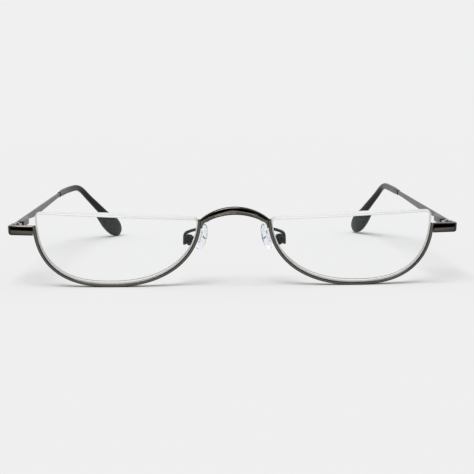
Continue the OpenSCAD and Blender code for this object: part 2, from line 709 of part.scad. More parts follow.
module ear_tip(rings, splay) {
    difference() {
        skin(rings);
        intersection() {
            translate([0, 0, bar_z - 5]) linear_extrude(10) temple_plan(splay, mouth_at - 1, bar_end_y + 0.2, fit);
            translate([0, 0, end_mid - temple_end_h / 2 - fit]) linear_extrude(temple_end_h + 2 * fit)
                translate([out_x / 2, mouth_at - socket_len / 6]) square([out_x, 1.5 * socket_len]);
        }
    }
}

// Nose pads. Local axes: +X toward the nose, +Y back, +Z up the pad, origin on the screw.
screw_y = sag(nose_x, pad_z - lens_base) + pad_y;
module at_pad() {
    translate([pad_x, screw_y, pad_z]) rotate([0, 0, -pad_splay]) rotate([0, -pad_lean, 0]) mirror([1, 0, 0]) children();
}
box_in = lug_t + 2 * fit;
box_w = box_in + 2 * box_wall;
box_from = -1.25;
box_to = 0.85;
pad_bore_r = pad_screw_d / 2 + fit;

module pad_box() at_pad() difference() {
    intersection() {
        translate([box_from, -box_w / 2, -box_len / 2]) cube([box_to - box_from, box_w, box_len]);
        rotate([90, 0, 0]) cylinder(box_w + 1, r = box_len / 2 + 0.15, center = true, $fn = 64);
    }
    translate([box_from + box_wall, -box_in / 2, -box_len]) cube([5, box_in, 2 * box_len]);
    rotate([90, 0, 0]) cylinder(box_w + 1, r = pad_bore_r, center = true, $fn = 32);
}

module pad_screw() at_pad() {
    rotate([90, 0, 0]) cylinder(box_w + 0.06, d = pad_screw_d, center = true, $fn = 32);
    translate([0, -box_w / 2 - 0.03, 0]) rotate([90, 0, 0]) cylinder(0.35, r1 = 0.7, r2 = 0.6, $fn = 32);
}

lug_r = 0.75;
plate_from = pad_stem - 0.1;
plate_t = 0.45;
plate_len = 3.6;
plate_w = 2;

module pad_mount() at_pad() {
    difference() {
        union() {
            rotate([90, 0, 0]) cylinder(lug_t, r = lug_r, center = true, $fn = 40);
            translate([0, -lug_t / 2, -lug_r]) cube([plate_from + 0.1, lug_t, 2 * lug_r]);
            translate([plate_from, -plate_w / 2, pad_rise - plate_len / 2]) cube([plate_t, plate_w, plate_len]);
        }
        rotate([90, 0, 0]) cylinder(lug_t + 1, r = pad_bore_r, center = true, $fn = 32);
    }
}

pad_from = plate_from + 0.1;
function pad_ring(x, k) = [for (i = [0:19]) let (
        a = 18 * i,
        w = pad_w / 2 * (1 - 0.14 * sin(a)))
    [pad_from + x, k * w * cos(a), k * pad_len / 2 * sin(a) + pad_rise]];

module nose_pad() at_pad() difference() {
    skin([
        pad_ring(0, 0.72), pad_ring(pad_t * 0.14, 0.9), pad_ring(pad_t * 0.38, 1),
        pad_ring(pad_t * 0.66, 0.96), pad_ring(pad_t * 0.88, 0.78), pad_ring(pad_t, 0.45)]);
    translate([0, -plate_w / 2 - fine, pad_rise - plate_len / 2 - fine]) cube([plate_from + plate_t + fine, plate_w + 2 * fine, plate_len + 2 * fine]);
}

// Pad arm: wire from the back of the rim, behind the lens, to the back of the pad box
pad_back = [pad_x + (-box_from + 0.1) * cos(pad_splay), screw_y - (-box_from + 0.1) * sin(pad_splay), pad_z];
arm_v = nose_end_v - 3.4;
arm_start = let (p = side_point(-1, side_angle(-1, arm_v)))
    [p[0] - lens_base * 0.5, sag(p[0], p[1]) + rim_d + arm_d * 0.4, lens_base + arm_v];
arm_points = [
    arm_start,
    arm_start + [0.4, 1.2, 0],
    [pad_x - 1.8, screw_y + 1.2, pad_z + 2.9],
    [pad_x - 0.2, screw_y + 1.2, pad_z + 2.5],
    [pad_x + 1.4, screw_y + 0.2, pad_z + 1.95],
    pad_back + [arm_d * 0.45, -arm_d * 0.3, 0.2],
    pad_back + [arm_d * 0.45, -arm_d * 0.3, -1]];
function spline(p, i, t) = let (
        a = p[max(0, i - 1)], b = p[i], c = p[i + 1], d = p[min(len(p) - 1, i + 2)])
    0.5 * (2 * b + (c - a) * t + (2 * a - 5 * b + 4 * c - d) * t * t + (3 * b - a - 3 * c + d) * t * t * t);
arm_line = concat([for (i = [0:len(arm_points) - 2]) for (t = [0, 0.34, 0.67]) spline(arm_points, i, t)],
    [arm_points[len(arm_points) - 1]]);
function wire_ring(line, i, r, n) = let (
        d = unit(line[min(len(line) - 1, i + 1)] - line[max(0, i - 1)]),
        a = unit(cross(d, [0.2, 0.3, 0.93])),
        b = cross(d, a))
    [for (k = [0:n - 1]) line[i] + r * (cos(360 * k / n) * a + sin(360 * k / n) * b)];

module pad_arm() skin([for (i = [0:len(arm_line) - 1]) wire_ring(arm_line, i, arm_d / 2, 8)]);

// Rest: turn the level frame until the lowest rim point and the lowest ear tip point are level
function lean_point(p) = [p[0], p[1] * cos(pantoscopic) - p[2] * sin(pantoscopic), p[1] * sin(pantoscopic) + p[2] * cos(pantoscopic)];
low_rim = [for (r = rim_rings) for (p = r) if (p[2] < 3) lean_point(p)];
low_tip = [for (r = concat(left_rings, right_rings)) for (p = r) if (p[2] < 2) p];
function lowest(points, a) = min([for (p = points) p[1] * sin(a) + p[2] * cos(a)]);
function settle(a, n) = n == 0 ? a
    : settle(a - atan((lowest(low_tip, a) - lowest(low_rim, a)) / (mouth_at + tip_len * 0.85)), n - 1);
rest_pitch = settle(4.5, 6);
floor_z = -min(lowest(low_rim, rest_pitch), lowest(low_tip, rest_pitch));
back_y = max([for (p = low_tip) p[1] * cos(rest_pitch) - p[2] * sin(rest_pitch)]);
crest = lean_point([peak_x - 8, rim_proud + sag(peak_x - 8, lens_h), lens_base + lens_h]);
face_y = crest[1] * cos(rest_pitch) - crest[2] * sin(rest_pitch);
echo(rest_pitch = rest_pitch, depth = back_y - face_y, hinge = [hinge_x, hinge_y, bar_z], turn_y = -(back_y + face_y) / 2, floor_z = floor_z);

module rest() translate([0, -(back_y + face_y) / 2, floor_z]) rotate([rest_pitch, 0, 0]) children();
module front() rotate([pantoscopic, 0, 0]) children();
module other() mirror([1, 0, 0]) children();

module rim_left() color(metal) rest() front() rim();
module rim_right() color(metal) rest() front() other() rim();
module bridge_bar() color(metal) rest() front() bridge();
module end_piece_left() color(metal) rest() end_piece();
module end_piece_right() color(metal) rest() other() end_piece();
module lens_left() color(glassy) rest() front() lens();
module lens_right() color(glassy) rest() front() other() lens();
module rim_liner_left() color(clear) rest() front() rim_liner();
module rim_liner_right() color(clear) rest() front() other() rim_liner();
module lens_thread_left() color(clear) rest() front() lens_thread();
module lens_thread_right() color(clear) rest() front() other() lens_thread();
module front_knuckle_left() color(steel) rest() front_knuckle();
module front_knuckle_right() color(steel) rest() other() front_knuckle();
module pad_arm_left() color(steel) rest() front() pad_arm();
module pad_arm_right() color(steel) rest() front() other() pad_arm();
module pad_box_left() color(steel) rest() front() pad_box();
module pad_box_right() color(steel) rest() front() other() pad_box();
module pad_screw_left() color(steel) rest() front() pad_screw();
module pad_screw_right() color(steel) rest() front() other() pad_screw();
module pad_mount_left() color(clear) rest() front() pad_mount();
module pad_mount_right() color(clear) rest() front() other() pad_mount();
module nose_pad_left() color(clear) rest() front() nose_pad();
module nose_pad_right() color(clear) rest() front() other() nose_pad();
module hinge_screw_left() color(steel) rest() hinge_screw();
module hinge_screw_right() color(steel) rest() other() hinge_screw();
module hinge_carriage_left() color(steel) rest() hinge_carriage();
module hinge_carriage_right() color(steel) rest() other() hinge_carriage();
module spring_rod_left() color(steel) rest() spring_rod();
module spring_rod_right() color(steel) rest() other() spring_rod();
module hinge_spring_left() color(steel) rest() hinge_spring();
module hinge_spring_right() color(steel) rest() other() hinge_spring();
module temple_left() color(satin) rest() temple(splay_left);
module temple_right() color(satin) rest() other() temple(splay_right);
module spring_housing_left() color(satin) rest() spring_housing(splay_left);
module spring_housing_right() color(satin) rest() other() spring_housing(splay_right);
module ear_tip_left() color(black) rest() ear_tip(left_rings, splay_left);
module ear_tip_right() color(black) rest() other() ear_tip(right_rings, splay_right);

rim_left();
rim_right();
bridge_bar();  // bridge
end_piece_left();
end_piece_right();
lens_left();
lens_right();
rim_liner_left();
rim_liner_right();
lens_thread_left();
lens_thread_right();
front_knuckle_left();
front_knuckle_right();
pad_arm_left();
pad_arm_right();
pad_box_left();
pad_box_right();
pad_screw_left();
pad_screw_right();
pad_mount_left();
pad_mount_right();
nose_pad_left();
nose_pad_right();
hinge_screw_left();
hinge_screw_right();
hinge_carriage_left();
hinge_carriage_right();
spring_rod_left();
spring_rod_right();
hinge_spring_left();
hinge_spring_right();
temple_left();
temple_right();
spring_housing_left();
spring_housing_right();
ear_tip_left();
ear_tip_right();
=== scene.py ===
"""Looks of the reading glasses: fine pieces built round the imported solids."""
import json
import math

import bmesh
import bpy
import numpy as np
from mathutils import Matrix, Vector


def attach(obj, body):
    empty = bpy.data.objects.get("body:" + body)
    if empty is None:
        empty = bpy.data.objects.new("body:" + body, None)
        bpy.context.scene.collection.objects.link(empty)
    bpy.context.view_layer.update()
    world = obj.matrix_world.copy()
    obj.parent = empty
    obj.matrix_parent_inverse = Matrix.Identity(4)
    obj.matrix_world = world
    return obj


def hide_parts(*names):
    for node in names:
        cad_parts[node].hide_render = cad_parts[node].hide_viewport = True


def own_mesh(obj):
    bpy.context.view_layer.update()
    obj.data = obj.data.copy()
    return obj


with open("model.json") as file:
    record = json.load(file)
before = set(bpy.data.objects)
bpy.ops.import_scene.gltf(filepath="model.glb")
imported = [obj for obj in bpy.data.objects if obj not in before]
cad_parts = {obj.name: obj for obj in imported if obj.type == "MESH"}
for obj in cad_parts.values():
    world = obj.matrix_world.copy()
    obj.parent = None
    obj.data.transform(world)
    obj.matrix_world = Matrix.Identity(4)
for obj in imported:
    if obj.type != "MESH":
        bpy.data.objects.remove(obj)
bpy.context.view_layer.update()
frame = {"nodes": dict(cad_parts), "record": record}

MM = 0.001
RENDER_SIZE = 474
SIDES = ("left", "right")
CLEAR_SLOTS = ("lens", "clear_nylon", "clear_silicone")

# ---------- sizes in millimetres and angles in degrees, the same as in the part's source

# Lens: its outline, its curves and its groove
lens_w, lens_h, lens_gap = 49.3, 22.3, 22.3
low_share, nose_power, ear_power = 0.538, 2.23, 2.69
corner_r, top_edge_r, top_peak = 1.5, 300, 14
front_r, power, index, lens_t = 88, 2.5, 1.498, 4
pupil_gap, centre_drop = 62, 4.5
groove_w, groove_d = 0.6, 0.5
# Rim, liner and thread
rim_t, rim_d, rim_proud, rim_wall = 1, 2.3, 0.2, 0.45
seat_gap, rim_end_over, thread_low, thread_d = 0.05, 0.5, 12.6, 0.5
# Bridge
bridge_top, bridge_r, bridge_h, bridge_d = 24.85, 16, 2.5, 1.6
bridge_under_r, bridge_foot, slot_half = 18, 3.2, 6.2
# End pieces, and the lean of the front
front_w, bar_h, bar_z = 139, 3, 18
tab_t, bend_r, tab_reach, sweep_back = 0.8, 2.4, 7.2, 0.16
pantoscopic = 9.2
# Nose pads, their arms and boxes
pad_len, pad_w, pad_t, pad_stem, pad_rise = 8.4, 5, 1.9, 3.5, 1.4
pad_x, pad_z, pad_y, pad_lean, pad_splay = 14.2, 13.3, 4.2, 20, 30
arm_d, box_back = 0.95, 1.25
plate_t, plate_len, plate_w = 0.45, 3.6, 2
# Hinges, and the spring in each housing
web_t, hinge_ahead, knuckle_r, fit, butt_gap = 0.2, 0.8, 0.85, 0.05, 0.3
mouth_gap, block_in, housing_len, shoulder, head_t = 4.2, 1.4, 6.4, 0.4, 0.35
coil_d, wire_d, turns, spring_travel = 0.76, 0.16, 4, 0.4
# Temples
temple_t, temple_neck_h, temple_h, full_at = 0.9, 1.5, 2.2, 28
temple_end_h, mouth_y, socket_len = 1.6, 71.6, 12
splay = {"left": 0.7, "right": -0.4}
# Ear tips
tip_len, fall, drop, bend_at, bend_len = 62, 0.8, 42, 26.2, 12
early = {"left": 3, "right": 15}
turn = {"left": 25, "right": 39}
tip_mouth_h, tip_mouth_w, tip_neck_h, tip_neck_w = 2.1, 1.5, 2.5, 1.9
paddle_h, paddle_w, end_r = 6.2, 3, 5.5
# The play between pieces that are moulded or pressed together
fine = 0.02


def smooth(s, a, b):
    """From 0 at a to 1 at b, with soft ends."""
    t = np.clip((np.asarray(s, float) - a) / (b - a), 0, 1)
    return t * t * (3 - 2 * t)


# ---------- lens outline and front curve, in the plane of the front

nose_x = lens_gap / 2
low_x = nose_x + lens_w * low_share
ear_x = nose_x + lens_w
mid_x = (nose_x + ear_x) / 2
side_h = lens_h - corner_r
peak_x = mid_x + top_peak
lens_base = rim_t + seat_gap
vertex_z = lens_base + lens_h / 2
groove_y = rim_d / 2
# How much of each corner's quarter turn is drawn, and where the side and the top stop short of it
corner_from, corner_to = 8, 86
side_short, top_short = 0.3, 0.4


def top_v(u):
    return lens_h - (u - peak_x) ** 2 / (2 * top_edge_r)


def corner_c(s):
    """Centre of a rounded top corner; s is -1 at the nose and 1 at the ear."""
    u = nose_x + corner_r if s < 0 else ear_x - corner_r
    return u, top_v(u) - corner_r


def side_angle(s, v):
    return math.acos((1 - v / side_h) ** ((nose_power if s < 0 else ear_power) / 2))


def side_curve(s, v0, v1, n=600):
    """Points up one side of the outline, from height v0 to v1."""
    a = np.linspace(side_angle(s, v0), side_angle(s, v1), n)
    p = 2 / (nose_power if s < 0 else ear_power)
    half = low_x - nose_x if s < 0 else ear_x - low_x
    return np.stack([low_x + s * half * np.sin(a) ** p, side_h * (1 - np.cos(a) ** p)], 1)


def corner_curve(s, n=60):
    a = np.radians(np.linspace(corner_from, corner_to, n))
    c = corner_c(s)
    return np.stack([c[0] + corner_r * s * np.cos(a), c[1] + corner_r * np.sin(a)], 1)


def top_curve(n=200):
    u = np.linspace(corner_c(-1)[0] + top_short, corner_c(1)[0] - top_short, n)
    return np.stack([u, top_v(u)], 1)


def over_top(v):
    """Up the ear side from height v, over the top and down the nose side to v again."""
    return np.vstack([
        side_curve(1, v, corner_c(1)[1] - side_short), corner_curve(1), top_curve()[::-1],
        corner_curve(-1)[::-1], side_curve(-1, v, corner_c(-1)[1] - side_short)[::-1]])


def resample(points, n, closed=False):
    """n points at equal steps along a line of points."""
    p = np.vstack([points, points[:1]]) if closed else np.asarray(points, float)
    d = np.concatenate([[0], np.cumsum(np.linalg.norm(np.diff(p, axis=0), axis=1))])
    keep = np.concatenate([[True], np.diff(d) > 1e-9])
    at = np.linspace(0, d[-1], n, endpoint=not closed)
    return np.stack([np.interp(at, d[keep], p[keep, k]) for k in range(p.shape[1])], 1)


def outward_normals(path, closed=False):
    if closed:
        d = np.roll(path, -1, 0) - np.roll(path, 1, 0)
    else:
        d = np.gradient(path, axis=0)
    d /= np.linalg.norm(d, axis=1)[:, None]
    return np.stack([d[:, 1], -d[:, 0]], 1)


def sag(u, v):
    """How far back the front curve lies at (u, v) of the outline's plane."""
    return front_r - np.sqrt(front_r ** 2 - (u - mid_x) ** 2 - (v + lens_base - vertex_z) ** 2)


def sweep_front(path, section):
    """Rings of a section (outward, back) along a path in the front's plane, run anticlockwise."""
    m = outward_normals(path)
    s = np.asarray(section, float)
    inner = np.minimum(s[:, 0], 0)
    back = groove_y + sag(path[:, None, 0] + inner * m[:, None, 0],
                          path[:, None, 1] + inner * m[:, None, 1])
    return np.stack([
        path[:, None, 0] + s[None, :, 0] * m[:, None, 0],
        back + s[None, :, 1],
        lens_base + path[:, None, 1] + s[None, :, 0] * m[:, None, 1]], 2)


def rounded(points, radii, n=5):
    """A closed outline with each corner turned to its own radius."""
    straight, most_of_edge = math.radians(89), 0.49
    p = np.asarray(points, float)
    out = []
    for i, r in enumerate(radii):
        a, b, c = p[i - 1], p[i], p[(i + 1) % len(p)]
        d0, d1 = a - b, c - b
        l0, l1 = np.linalg.norm(d0), np.linalg.norm(d1)
        d0, d1 = d0 / l0, d1 / l1
        half = math.acos(max(-1, min(1, float(d0 @ d1)))) / 2
        if r <= 0 or half > straight:
            out.append(b)
            continue
        t = min(r / math.tan(half), most_of_edge * l0, most_of_edge * l1)
        r = t * math.tan(half)
        mid = (d0 + d1) / np.linalg.norm(d0 + d1)
        centre = b + mid * r / math.sin(half)
        v0, v1 = b + d0 * t - centre, b + d1 * t - centre
        for k in range(n + 1):
            v = v0 + (v1 - v0) * k / n
            out.append(centre + v / np.linalg.norm(v) * r)
    return np.array(out)


# ---------- places: the front leans, and the whole is tipped until it rests level

joints = {j["name"]: j for j in frame["record"]["behaviour"]["joints"]}
pin = joints["flex_left"]
rest_pitch = math.degrees(math.atan2(-pin["axis"][1], pin["axis"][2]))
lean_c, lean_s = math.cos(math.radians(pantoscopic)), math.sin(math.radians(pantoscopic))
rest_c, rest_s = math.cos(math.radians(rest_pitch)), math.sin(math.radians(rest_pitch))

# The end bar stands this far outside the rim and behind the front curve where it starts
bar_clear, bar_behind = 0.05, 0.1
out_x = front_w / 2
join_x = ear_x + lens_base + bar_clear
join_y = (sag(ear_x, bar_z - lens_base) + bar_behind) * lean_c - bar_z * lean_s
tab_end = join_y + (out_x - join_x) * sweep_back + tab_reach
hinge_x = out_x - tab_t - web_t - fit - knuckle_r
hinge_y = tab_end - hinge_ahead
turn_y = pin["pos_m"][1] / MM - (hinge_y * rest_c - bar_z * rest_s)
floor_z = pin["pos_m"][2] / MM - (hinge_y * rest_s + bar_z * rest_c)


def tipped(p, c, s):
    """Points turned about the X axis by the angle whose cosine and sine are c and s."""
    p = np.asarray(p, float)
    y, z = p[..., 1], p[..., 2]
    return np.stack([p[..., 0], y * c - z * s, y * s + z * c], -1)


def level(p):
    """From the temples' level frame to the rest pose."""
    return tipped(p, rest_c, rest_s) + np.array([0, turn_y, floor_z])


def leaned(p):
    """From the upright front to the rest pose."""
    return level(tipped(p, lean_c, lean_s))


def sided(p, side):
    """Points of the wearer's left side, or their mirror image for the right."""
    return np.asarray(p) * np.array([1 if side == "left" else -1, 1, 1])


def stood(outline, y):
    """Points of an outline seen from the front, stood at depth y."""
    return np.stack([outline[:, 0], np.full(len(outline), y), outline[:, 1]], 1)


# ---------- meshes

# Points nearer than this, in metres, are one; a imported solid's points are less exact
WELD, CAD_WELD = 1e-8, 2e-7
# Edges sharper than this, in degrees, stay sharp in the shading
CREASE, EASED_CREASE, LENS_CREASE, PAD_CREASE = 32, 40, 25, 50
# A solid's edges above the first angle are eased, in this many steps; facets below the second join
EASE_ABOVE, EASE_STEPS, FLAT_BELOW = 30, 3, 1


def placed(name, data):
    """A new object of the scene, at the origin."""
    ob = bpy.data.objects.new(name, data)
    bpy.context.scene.collection.objects.link(ob)
    return ob


def shade(me, crease):
    me.shade_smooth()
    me.set_sharp_from_angle(angle=math.radians(crease))


def tidy_mesh(me, crease):
    bm = bmesh.new()
    bm.from_mesh(me)
    bmesh.ops.remove_doubles(bm, verts=bm.verts, dist=WELD)
    bmesh.ops.recalc_face_normals(bm, faces=bm.faces)
    bm.to_mesh(me)
    bm.free()
    shade(me, crease)


def new_object(name, verts, faces, materials, face_slots=None, crease=CREASE):
    """A closed mesh from points in millimetres, normals outward, smooth up to the crease angle."""
    me = bpy.data.meshes.new(name)
    me.from_pydata((np.asarray(verts) * MM).tolist(), [], faces)
    for m in materials:
        me.materials.append(m)
    if face_slots is not None:
        me.polygons.foreach_set("material_index", face_slots)
    tidy_mesh(me, crease)
    return placed(name, me)


def tube_faces(n, m):
    """Faces between n rings of m points each."""
    faces = []
    for i in range(n - 1):
        a, b = i * m, (i + 1) * m
        faces += [(a + j, a + (j + 1) % m, b + (j + 1) % m, b + j) for j in range(m)]
    return faces


def tube(rings):
    """Points and faces of a tube through equal rings, its ends capped."""
    n, m = rings.shape[:2]
    faces = tube_faces(n, m)
    faces.append(tuple(reversed(range(m))))
    faces.append(tuple(range((n - 1) * m, n * m)))
    return rings.reshape(-1, 3), faces


def stand_for(ob, body, slot, *nodes):
    """Makes an object ride its body in place of the solids it stands for."""
    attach(ob, body)
    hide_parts(*nodes)
    if slot in CLEAR_SLOTS:
        # A clear piece casts no dark shadow: light from the lamp and the table goes through it
        ob.visible_shadow = False
        ob.visible_diffuse = False


def applied(ob):
    """Turns an object's live modifiers into its plain mesh."""
    graph = bpy.context.evaluated_depsgraph_get()
    me = bpy.data.meshes.new_from_object(ob.evaluated_get(graph))
    ob.modifiers.clear()
    ob.data = me


def cut(ob, verts, faces, finish=None):
    """Takes a closed shape, in millimetres, out of an object; the cut faces get the finish."""
    tool = new_object(ob.name + "_tool", verts, faces, [finish] if finish else [])
    m = ob.modifiers.new("cut", "BOOLEAN")
    m.operation = "DIFFERENCE"
    m.material_mode = "TRANSFER" if finish else "INDEX"
    m.solver = "EXACT"
    m.object = tool
    applied(ob)
    bpy.data.objects.remove(tool)
    shade(ob.data, CREASE)


def round_outer_end(bm):
    """Turns the end bar's square outer end, seen from the front, into a rounded one."""
    reach, half, drop_share, flat_half, fade = 1.3, bar_h / 2, 0.36, 0.5, 1
    bend_end = join_y + (out_x - join_x) * sweep_back + bend_r
    for v in bm.verts:
        # Out of the rest pose, into the temples' level frame
        x, y, z = tipped(np.array(v.co) / MM - np.array([0, turn_y, floor_z]), rest_c, -rest_s)
        past = min(1, max(0, abs(x) - out_x + reach) / reach)
        high = z - bar_z
        share = drop_share * (1 - math.sqrt(1 - past * past))
        share *= float(smooth(abs(high), flat_half, half))
        share *= 1 - float(smooth(y, bend_end, bend_end + fade))
        v.co = level(np.array([x, y, bar_z + high * (1 - share)])) * MM


def from_cad(node, name, material, width, shape=None):
    """A copy of a solid with its edges eased by a small radius in millimetres."""
    me = frame["nodes"][node].data.copy()
    me.name = name
    bm = bmesh.new()
    bm.from_mesh(me)
    bmesh.ops.remove_doubles(bm, verts=bm.verts, dist=CAD_WELD)
    bmesh.ops.dissolve_limit(
        bm, angle_limit=math.radians(FLAT_BELOW), verts=bm.verts, edges=bm.edges)
    if shape:
        shape(bm)
    sharp = math.radians(EASE_ABOVE)
    edges = [e for e in bm.edges if len(e.link_faces) == 2 and e.calc_face_angle(0) > sharp]
    bmesh.ops.bevel(bm, geom=edges, offset=width * MM, segments=EASE_STEPS, profile=0.5,
                    affect="EDGES", clamp_overlap=True)
    bmesh.ops.recalc_face_normals(bm, faces=bm.faces)
    bm.to_mesh(me)
    bm.free()
    me.materials.clear()
    me.materials.append(material)
    shade(me, EASED_CREASE)
    return placed(name, me)


# ---------- materials

# Places of the colours in a Mix node, whose sockets share their names with those for numbers
MIX_A, MIX_B, MIX_OUT = 6, 7, 2
METAL = {"Metallic": 1.0}
NO_GLOSS = {"Specular IOR Level": 0.0}


def srgb(code):
    """Linear colour from an sRGB hex code."""
    v = [int(code[i:i + 2], 16) / 255 for i in (0, 2, 4)]
    return tuple(c / 12.92 if c <= 0.04045 else ((c + 0.055) / 1.055) ** 2.4 for c in v) + (1,)


def add(tree, kind, inputs=None, **props):
    """Adds a node; an input may be a value or another node's socket."""
    n = tree.nodes.new(kind)
    for k, v in props.items():
        setattr(n, k, v)
    for k, v in (inputs or {}).items():
        if isinstance(v, bpy.types.NodeSocket):
            tree.links.new(v, n.inputs[k])
        else:
            n.inputs[k].default_value = v
    return n


def surface(name, dark, light, rough, grain_mm, stretch=(1, 1, 1), bump_um=1.0, edge="",
            **shader):
    """A material whose colour, roughness and bump vary at real sizes.

    rough is (lowest, highest). grain_mm is the size of the marks left by making it, bump_um their
    depth, and stretch draws them out. edge is the colour of a painted shade, laid on where the
    surface turns away from the eye in place of a dark reflection.
    """
    variation_mm, rough_span, painted_shade_span = 4.0, (0.3, 0.7), (0.1, 0.4)
    mat = bpy.data.materials.new(name)
    mat.use_nodes = True
    t = mat.node_tree
    t.nodes.clear()
    where = add(t, "ShaderNodeTexCoord").outputs["Object"]
    along = add(t, "ShaderNodeMapping", {"Vector": where, "Scale": stretch}).outputs["Vector"]
    broad = add(t, "ShaderNodeTexNoise", {
        "Vector": where, "Scale": 1 / (variation_mm * MM), "Detail": 3.0}).outputs["Fac"]
    grain = add(t, "ShaderNodeTexNoise", {
        "Vector": along, "Scale": 1 / (grain_mm * MM), "Detail": 4.0}).outputs["Fac"]
    both = add(t, "ShaderNodeMath", {0: broad, 1: grain}, operation="ADD").outputs[0]
    mean = add(t, "ShaderNodeMath", {0: both, 1: 0.5}, operation="MULTIPLY").outputs[0]
    tone = add(t, "ShaderNodeMix", {0: mean, MIX_A: srgb(dark), MIX_B: srgb(light)},
               data_type="RGBA").outputs[MIX_OUT]
    rough_map = add(t, "ShaderNodeMapRange", {
        "Value": mean, "From Min": rough_span[0], "From Max": rough_span[1],
        "To Min": rough[0], "To Max": rough[1]}).outputs[0]
    bump = add(t, "ShaderNodeBump", {
        "Height": grain, "Distance": bump_um * 1e-6, "Strength": 1.0}).outputs[0]
    # Painted shade: the colour goes to the dark edge colour where the surface faces away from the
    # eye
    if edge:
        facing = add(t, "ShaderNodeLayerWeight", {"Blend": 0.5}).outputs["Facing"]
        turned = add(t, "ShaderNodeMapRange", {
            "Value": facing, "From Min": painted_shade_span[0], "From Max": painted_shade_span[1],
            "To Min": 0.0, "To Max": 1.0}).outputs[0]
        tone = add(t, "ShaderNodeMix", {0: turned, MIX_A: tone, MIX_B: srgb(edge)},
                   data_type="RGBA").outputs[MIX_OUT]
    bsdf = add(t, "ShaderNodeBsdfPrincipled", {
        "Base Color": tone, "Roughness": rough_map, "Normal": bump, **shader})
    add(t, "ShaderNodeOutputMaterial", {"Surface": bsdf.outputs[0]}).is_active_output = True
    return mat


def clear(share, ior, **more):
    """Shader values of a material that lets this share of the light through."""
    return {"Transmission Weight": share, "IOR": ior, **more}


# Gunmetal plating over polished metal, on rims, bridge and end pieces: dark and smooth, with
# clear narrow highlights, and a painted shade, nearly black, where it turns away from the eye
gunmetal = surface("gunmetal_plating", "5A5650", "68635C", (0.10, 0.17), 0.25,
                   bump_um=0.5, edge="1A1918", **METAL)
# Paler metal on the bridge's engraved groove: a painted highlight, a slightly rough pale line
groove_highlight_paint = surface("painted_groove_highlight", "969189", "A7A299", (0.14, 0.24), 0.15,
                    bump_um=0.8, **METAL)
# Satin grey plating brushed lengthwise, on temples and spring housings: a soft sheen drawn out
# along the bar. The brush marks are drawn coarser than real ones, so that they show
satin = surface("satin_grey_plating", "585958", "6A6B6A", (0.3, 0.42), 0.12,
                (1, 0.04, 1), 1.6, **METAL)
# Turned and stamped steel, bright, on the hinge pieces: pale, with small sharp highlights
steel = surface("bright_steel", "A3A2A0", "B8B7B4", (0.16, 0.26), 0.15, **METAL)
# Drawn steel with a smoked finish, on pad arms, their boxes and screws: almost black, with a
# thin line of light along the wire, and a painted shade, darker still, where it turns away
smoked = surface("smoked_steel", "1C1B1A", "302F2C", (0.14, 0.24), 0.15,
                 bump_um=0.8, edge="161616", **METAL)
# Cast allyl lens plastic, polished: quite clear. The tint is its coat, which leaves about a third
# of the plain plastic's reflection
lens_plastic = surface("clear_lens_plastic", "FEFFFF", "FFFFFF", (0.0, 0.004), 0.4, bump_um=0.0,
                       **clear(1.0, index, **{"Specular Tint": srgb("96A2A4")}))
# The same plastic ground and left matt at the edge: a frosted white band. The grit's marks are
# drawn coarser than real ones, here and on the bevel, so that they show
ground_edge = surface("ground_lens_edge", "DDDEDD", "E7E8E7", (0.4, 0.55), 0.06,
                      bump_um=2.0, **clear(0.15, index))
# The safety bevel ground round the lens's rear edge: frosted, painted paler for the light from
# behind
matt_bevel = surface("matt_lens_bevel", "F4F6F4", "FCFCFC", (0.4, 0.55), 0.06,
                     bump_um=2.0, **clear(0.7, index))
# The bevel's inner edge, which bends the light away from the eye: a thin grey line of painted
# shade
bevel_line = surface("lens_bevel_line", "5E5C56", "6E6C66", (0.3, 0.45), 0.06,
                     **clear(0.2, index))
# Drawn clear nylon, on the thread over the lens and the liner: milky, with a soft bright line
nylon = surface("clear_nylon", "DDDEDE", "E7E8E8", (0.12, 0.2), 0.2,
                bump_um=0.5, **clear(0.5, 1.53))
# Silicone moulded in a polished mould, on the nose pads: clear, faintly blue, wet-looking
silicone = surface("clear_silicone", "F2F6FB", "FAFCFF", (0.03, 0.08), 0.8,
                   bump_um=0.8, **clear(1.0, 1.41))
# Black acetate, tumbled, on the ear tips: deep black under a soft, broad gloss
acetate = surface("black_acetate", "0B0F12", "161C20", (0.18, 0.28), 0.2,
                  bump_um=1.5, **{"IOR": 1.49, "Specular IOR Level": 0.24})
# Matt laminate of the table top: pale and even, without gloss
table_top = surface("pale_table", "E4E4E4", "E4E4E4", (0.9, 1.0), 2.0, bump_um=0.0, **NO_GLOSS)
# Black felt of the cards that the dark reflections come from: no light comes back
black_felt = surface("black_flag", "050505", "070707", (0.9, 1.0), 2.0, bump_um=0.0, **NO_GLOSS)


# ---------- camera, fitted to the photograph

CAM_AT = np.array([-7.13, turn_y - 232.629, 47.36])
CAM_YAW, CAM_PITCH, CAM_ROLL = (math.radians(a) for a in (1.92, 7.8, 0.193))
FOCAL_PX, SENSOR_MM = 766.5, 36
NEAR_M, FAR_M = 0.01, 50


def aim_camera():
    forward = Vector((math.sin(CAM_YAW) * math.cos(CAM_PITCH),
                      math.cos(CAM_YAW) * math.cos(CAM_PITCH), -math.sin(CAM_PITCH)))
    right = Vector((math.cos(CAM_YAW), -math.sin(CAM_YAW), 0))
    up = right.cross(forward)
    c, s = math.cos(CAM_ROLL), math.sin(CAM_ROLL)
    turned = Matrix((right * c - up * s, right * s + up * c, -forward)).transposed()
    data = bpy.data.cameras.new("camera")
    data.sensor_width = SENSOR_MM
    data.lens = SENSOR_MM * FOCAL_PX / RENDER_SIZE
    data.clip_start, data.clip_end = NEAR_M, FAR_M
    cam = placed("camera", data)
    cam.location = CAM_AT * MM
    cam.rotation_euler = turned.to_euler()
    bpy.context.scene.camera = cam


aim_camera()

# ---------- rims and liners

# How far the rim's two ends stay under the end bar's top and under the bridge
ear_under, nose_under = 0.6, 0.7
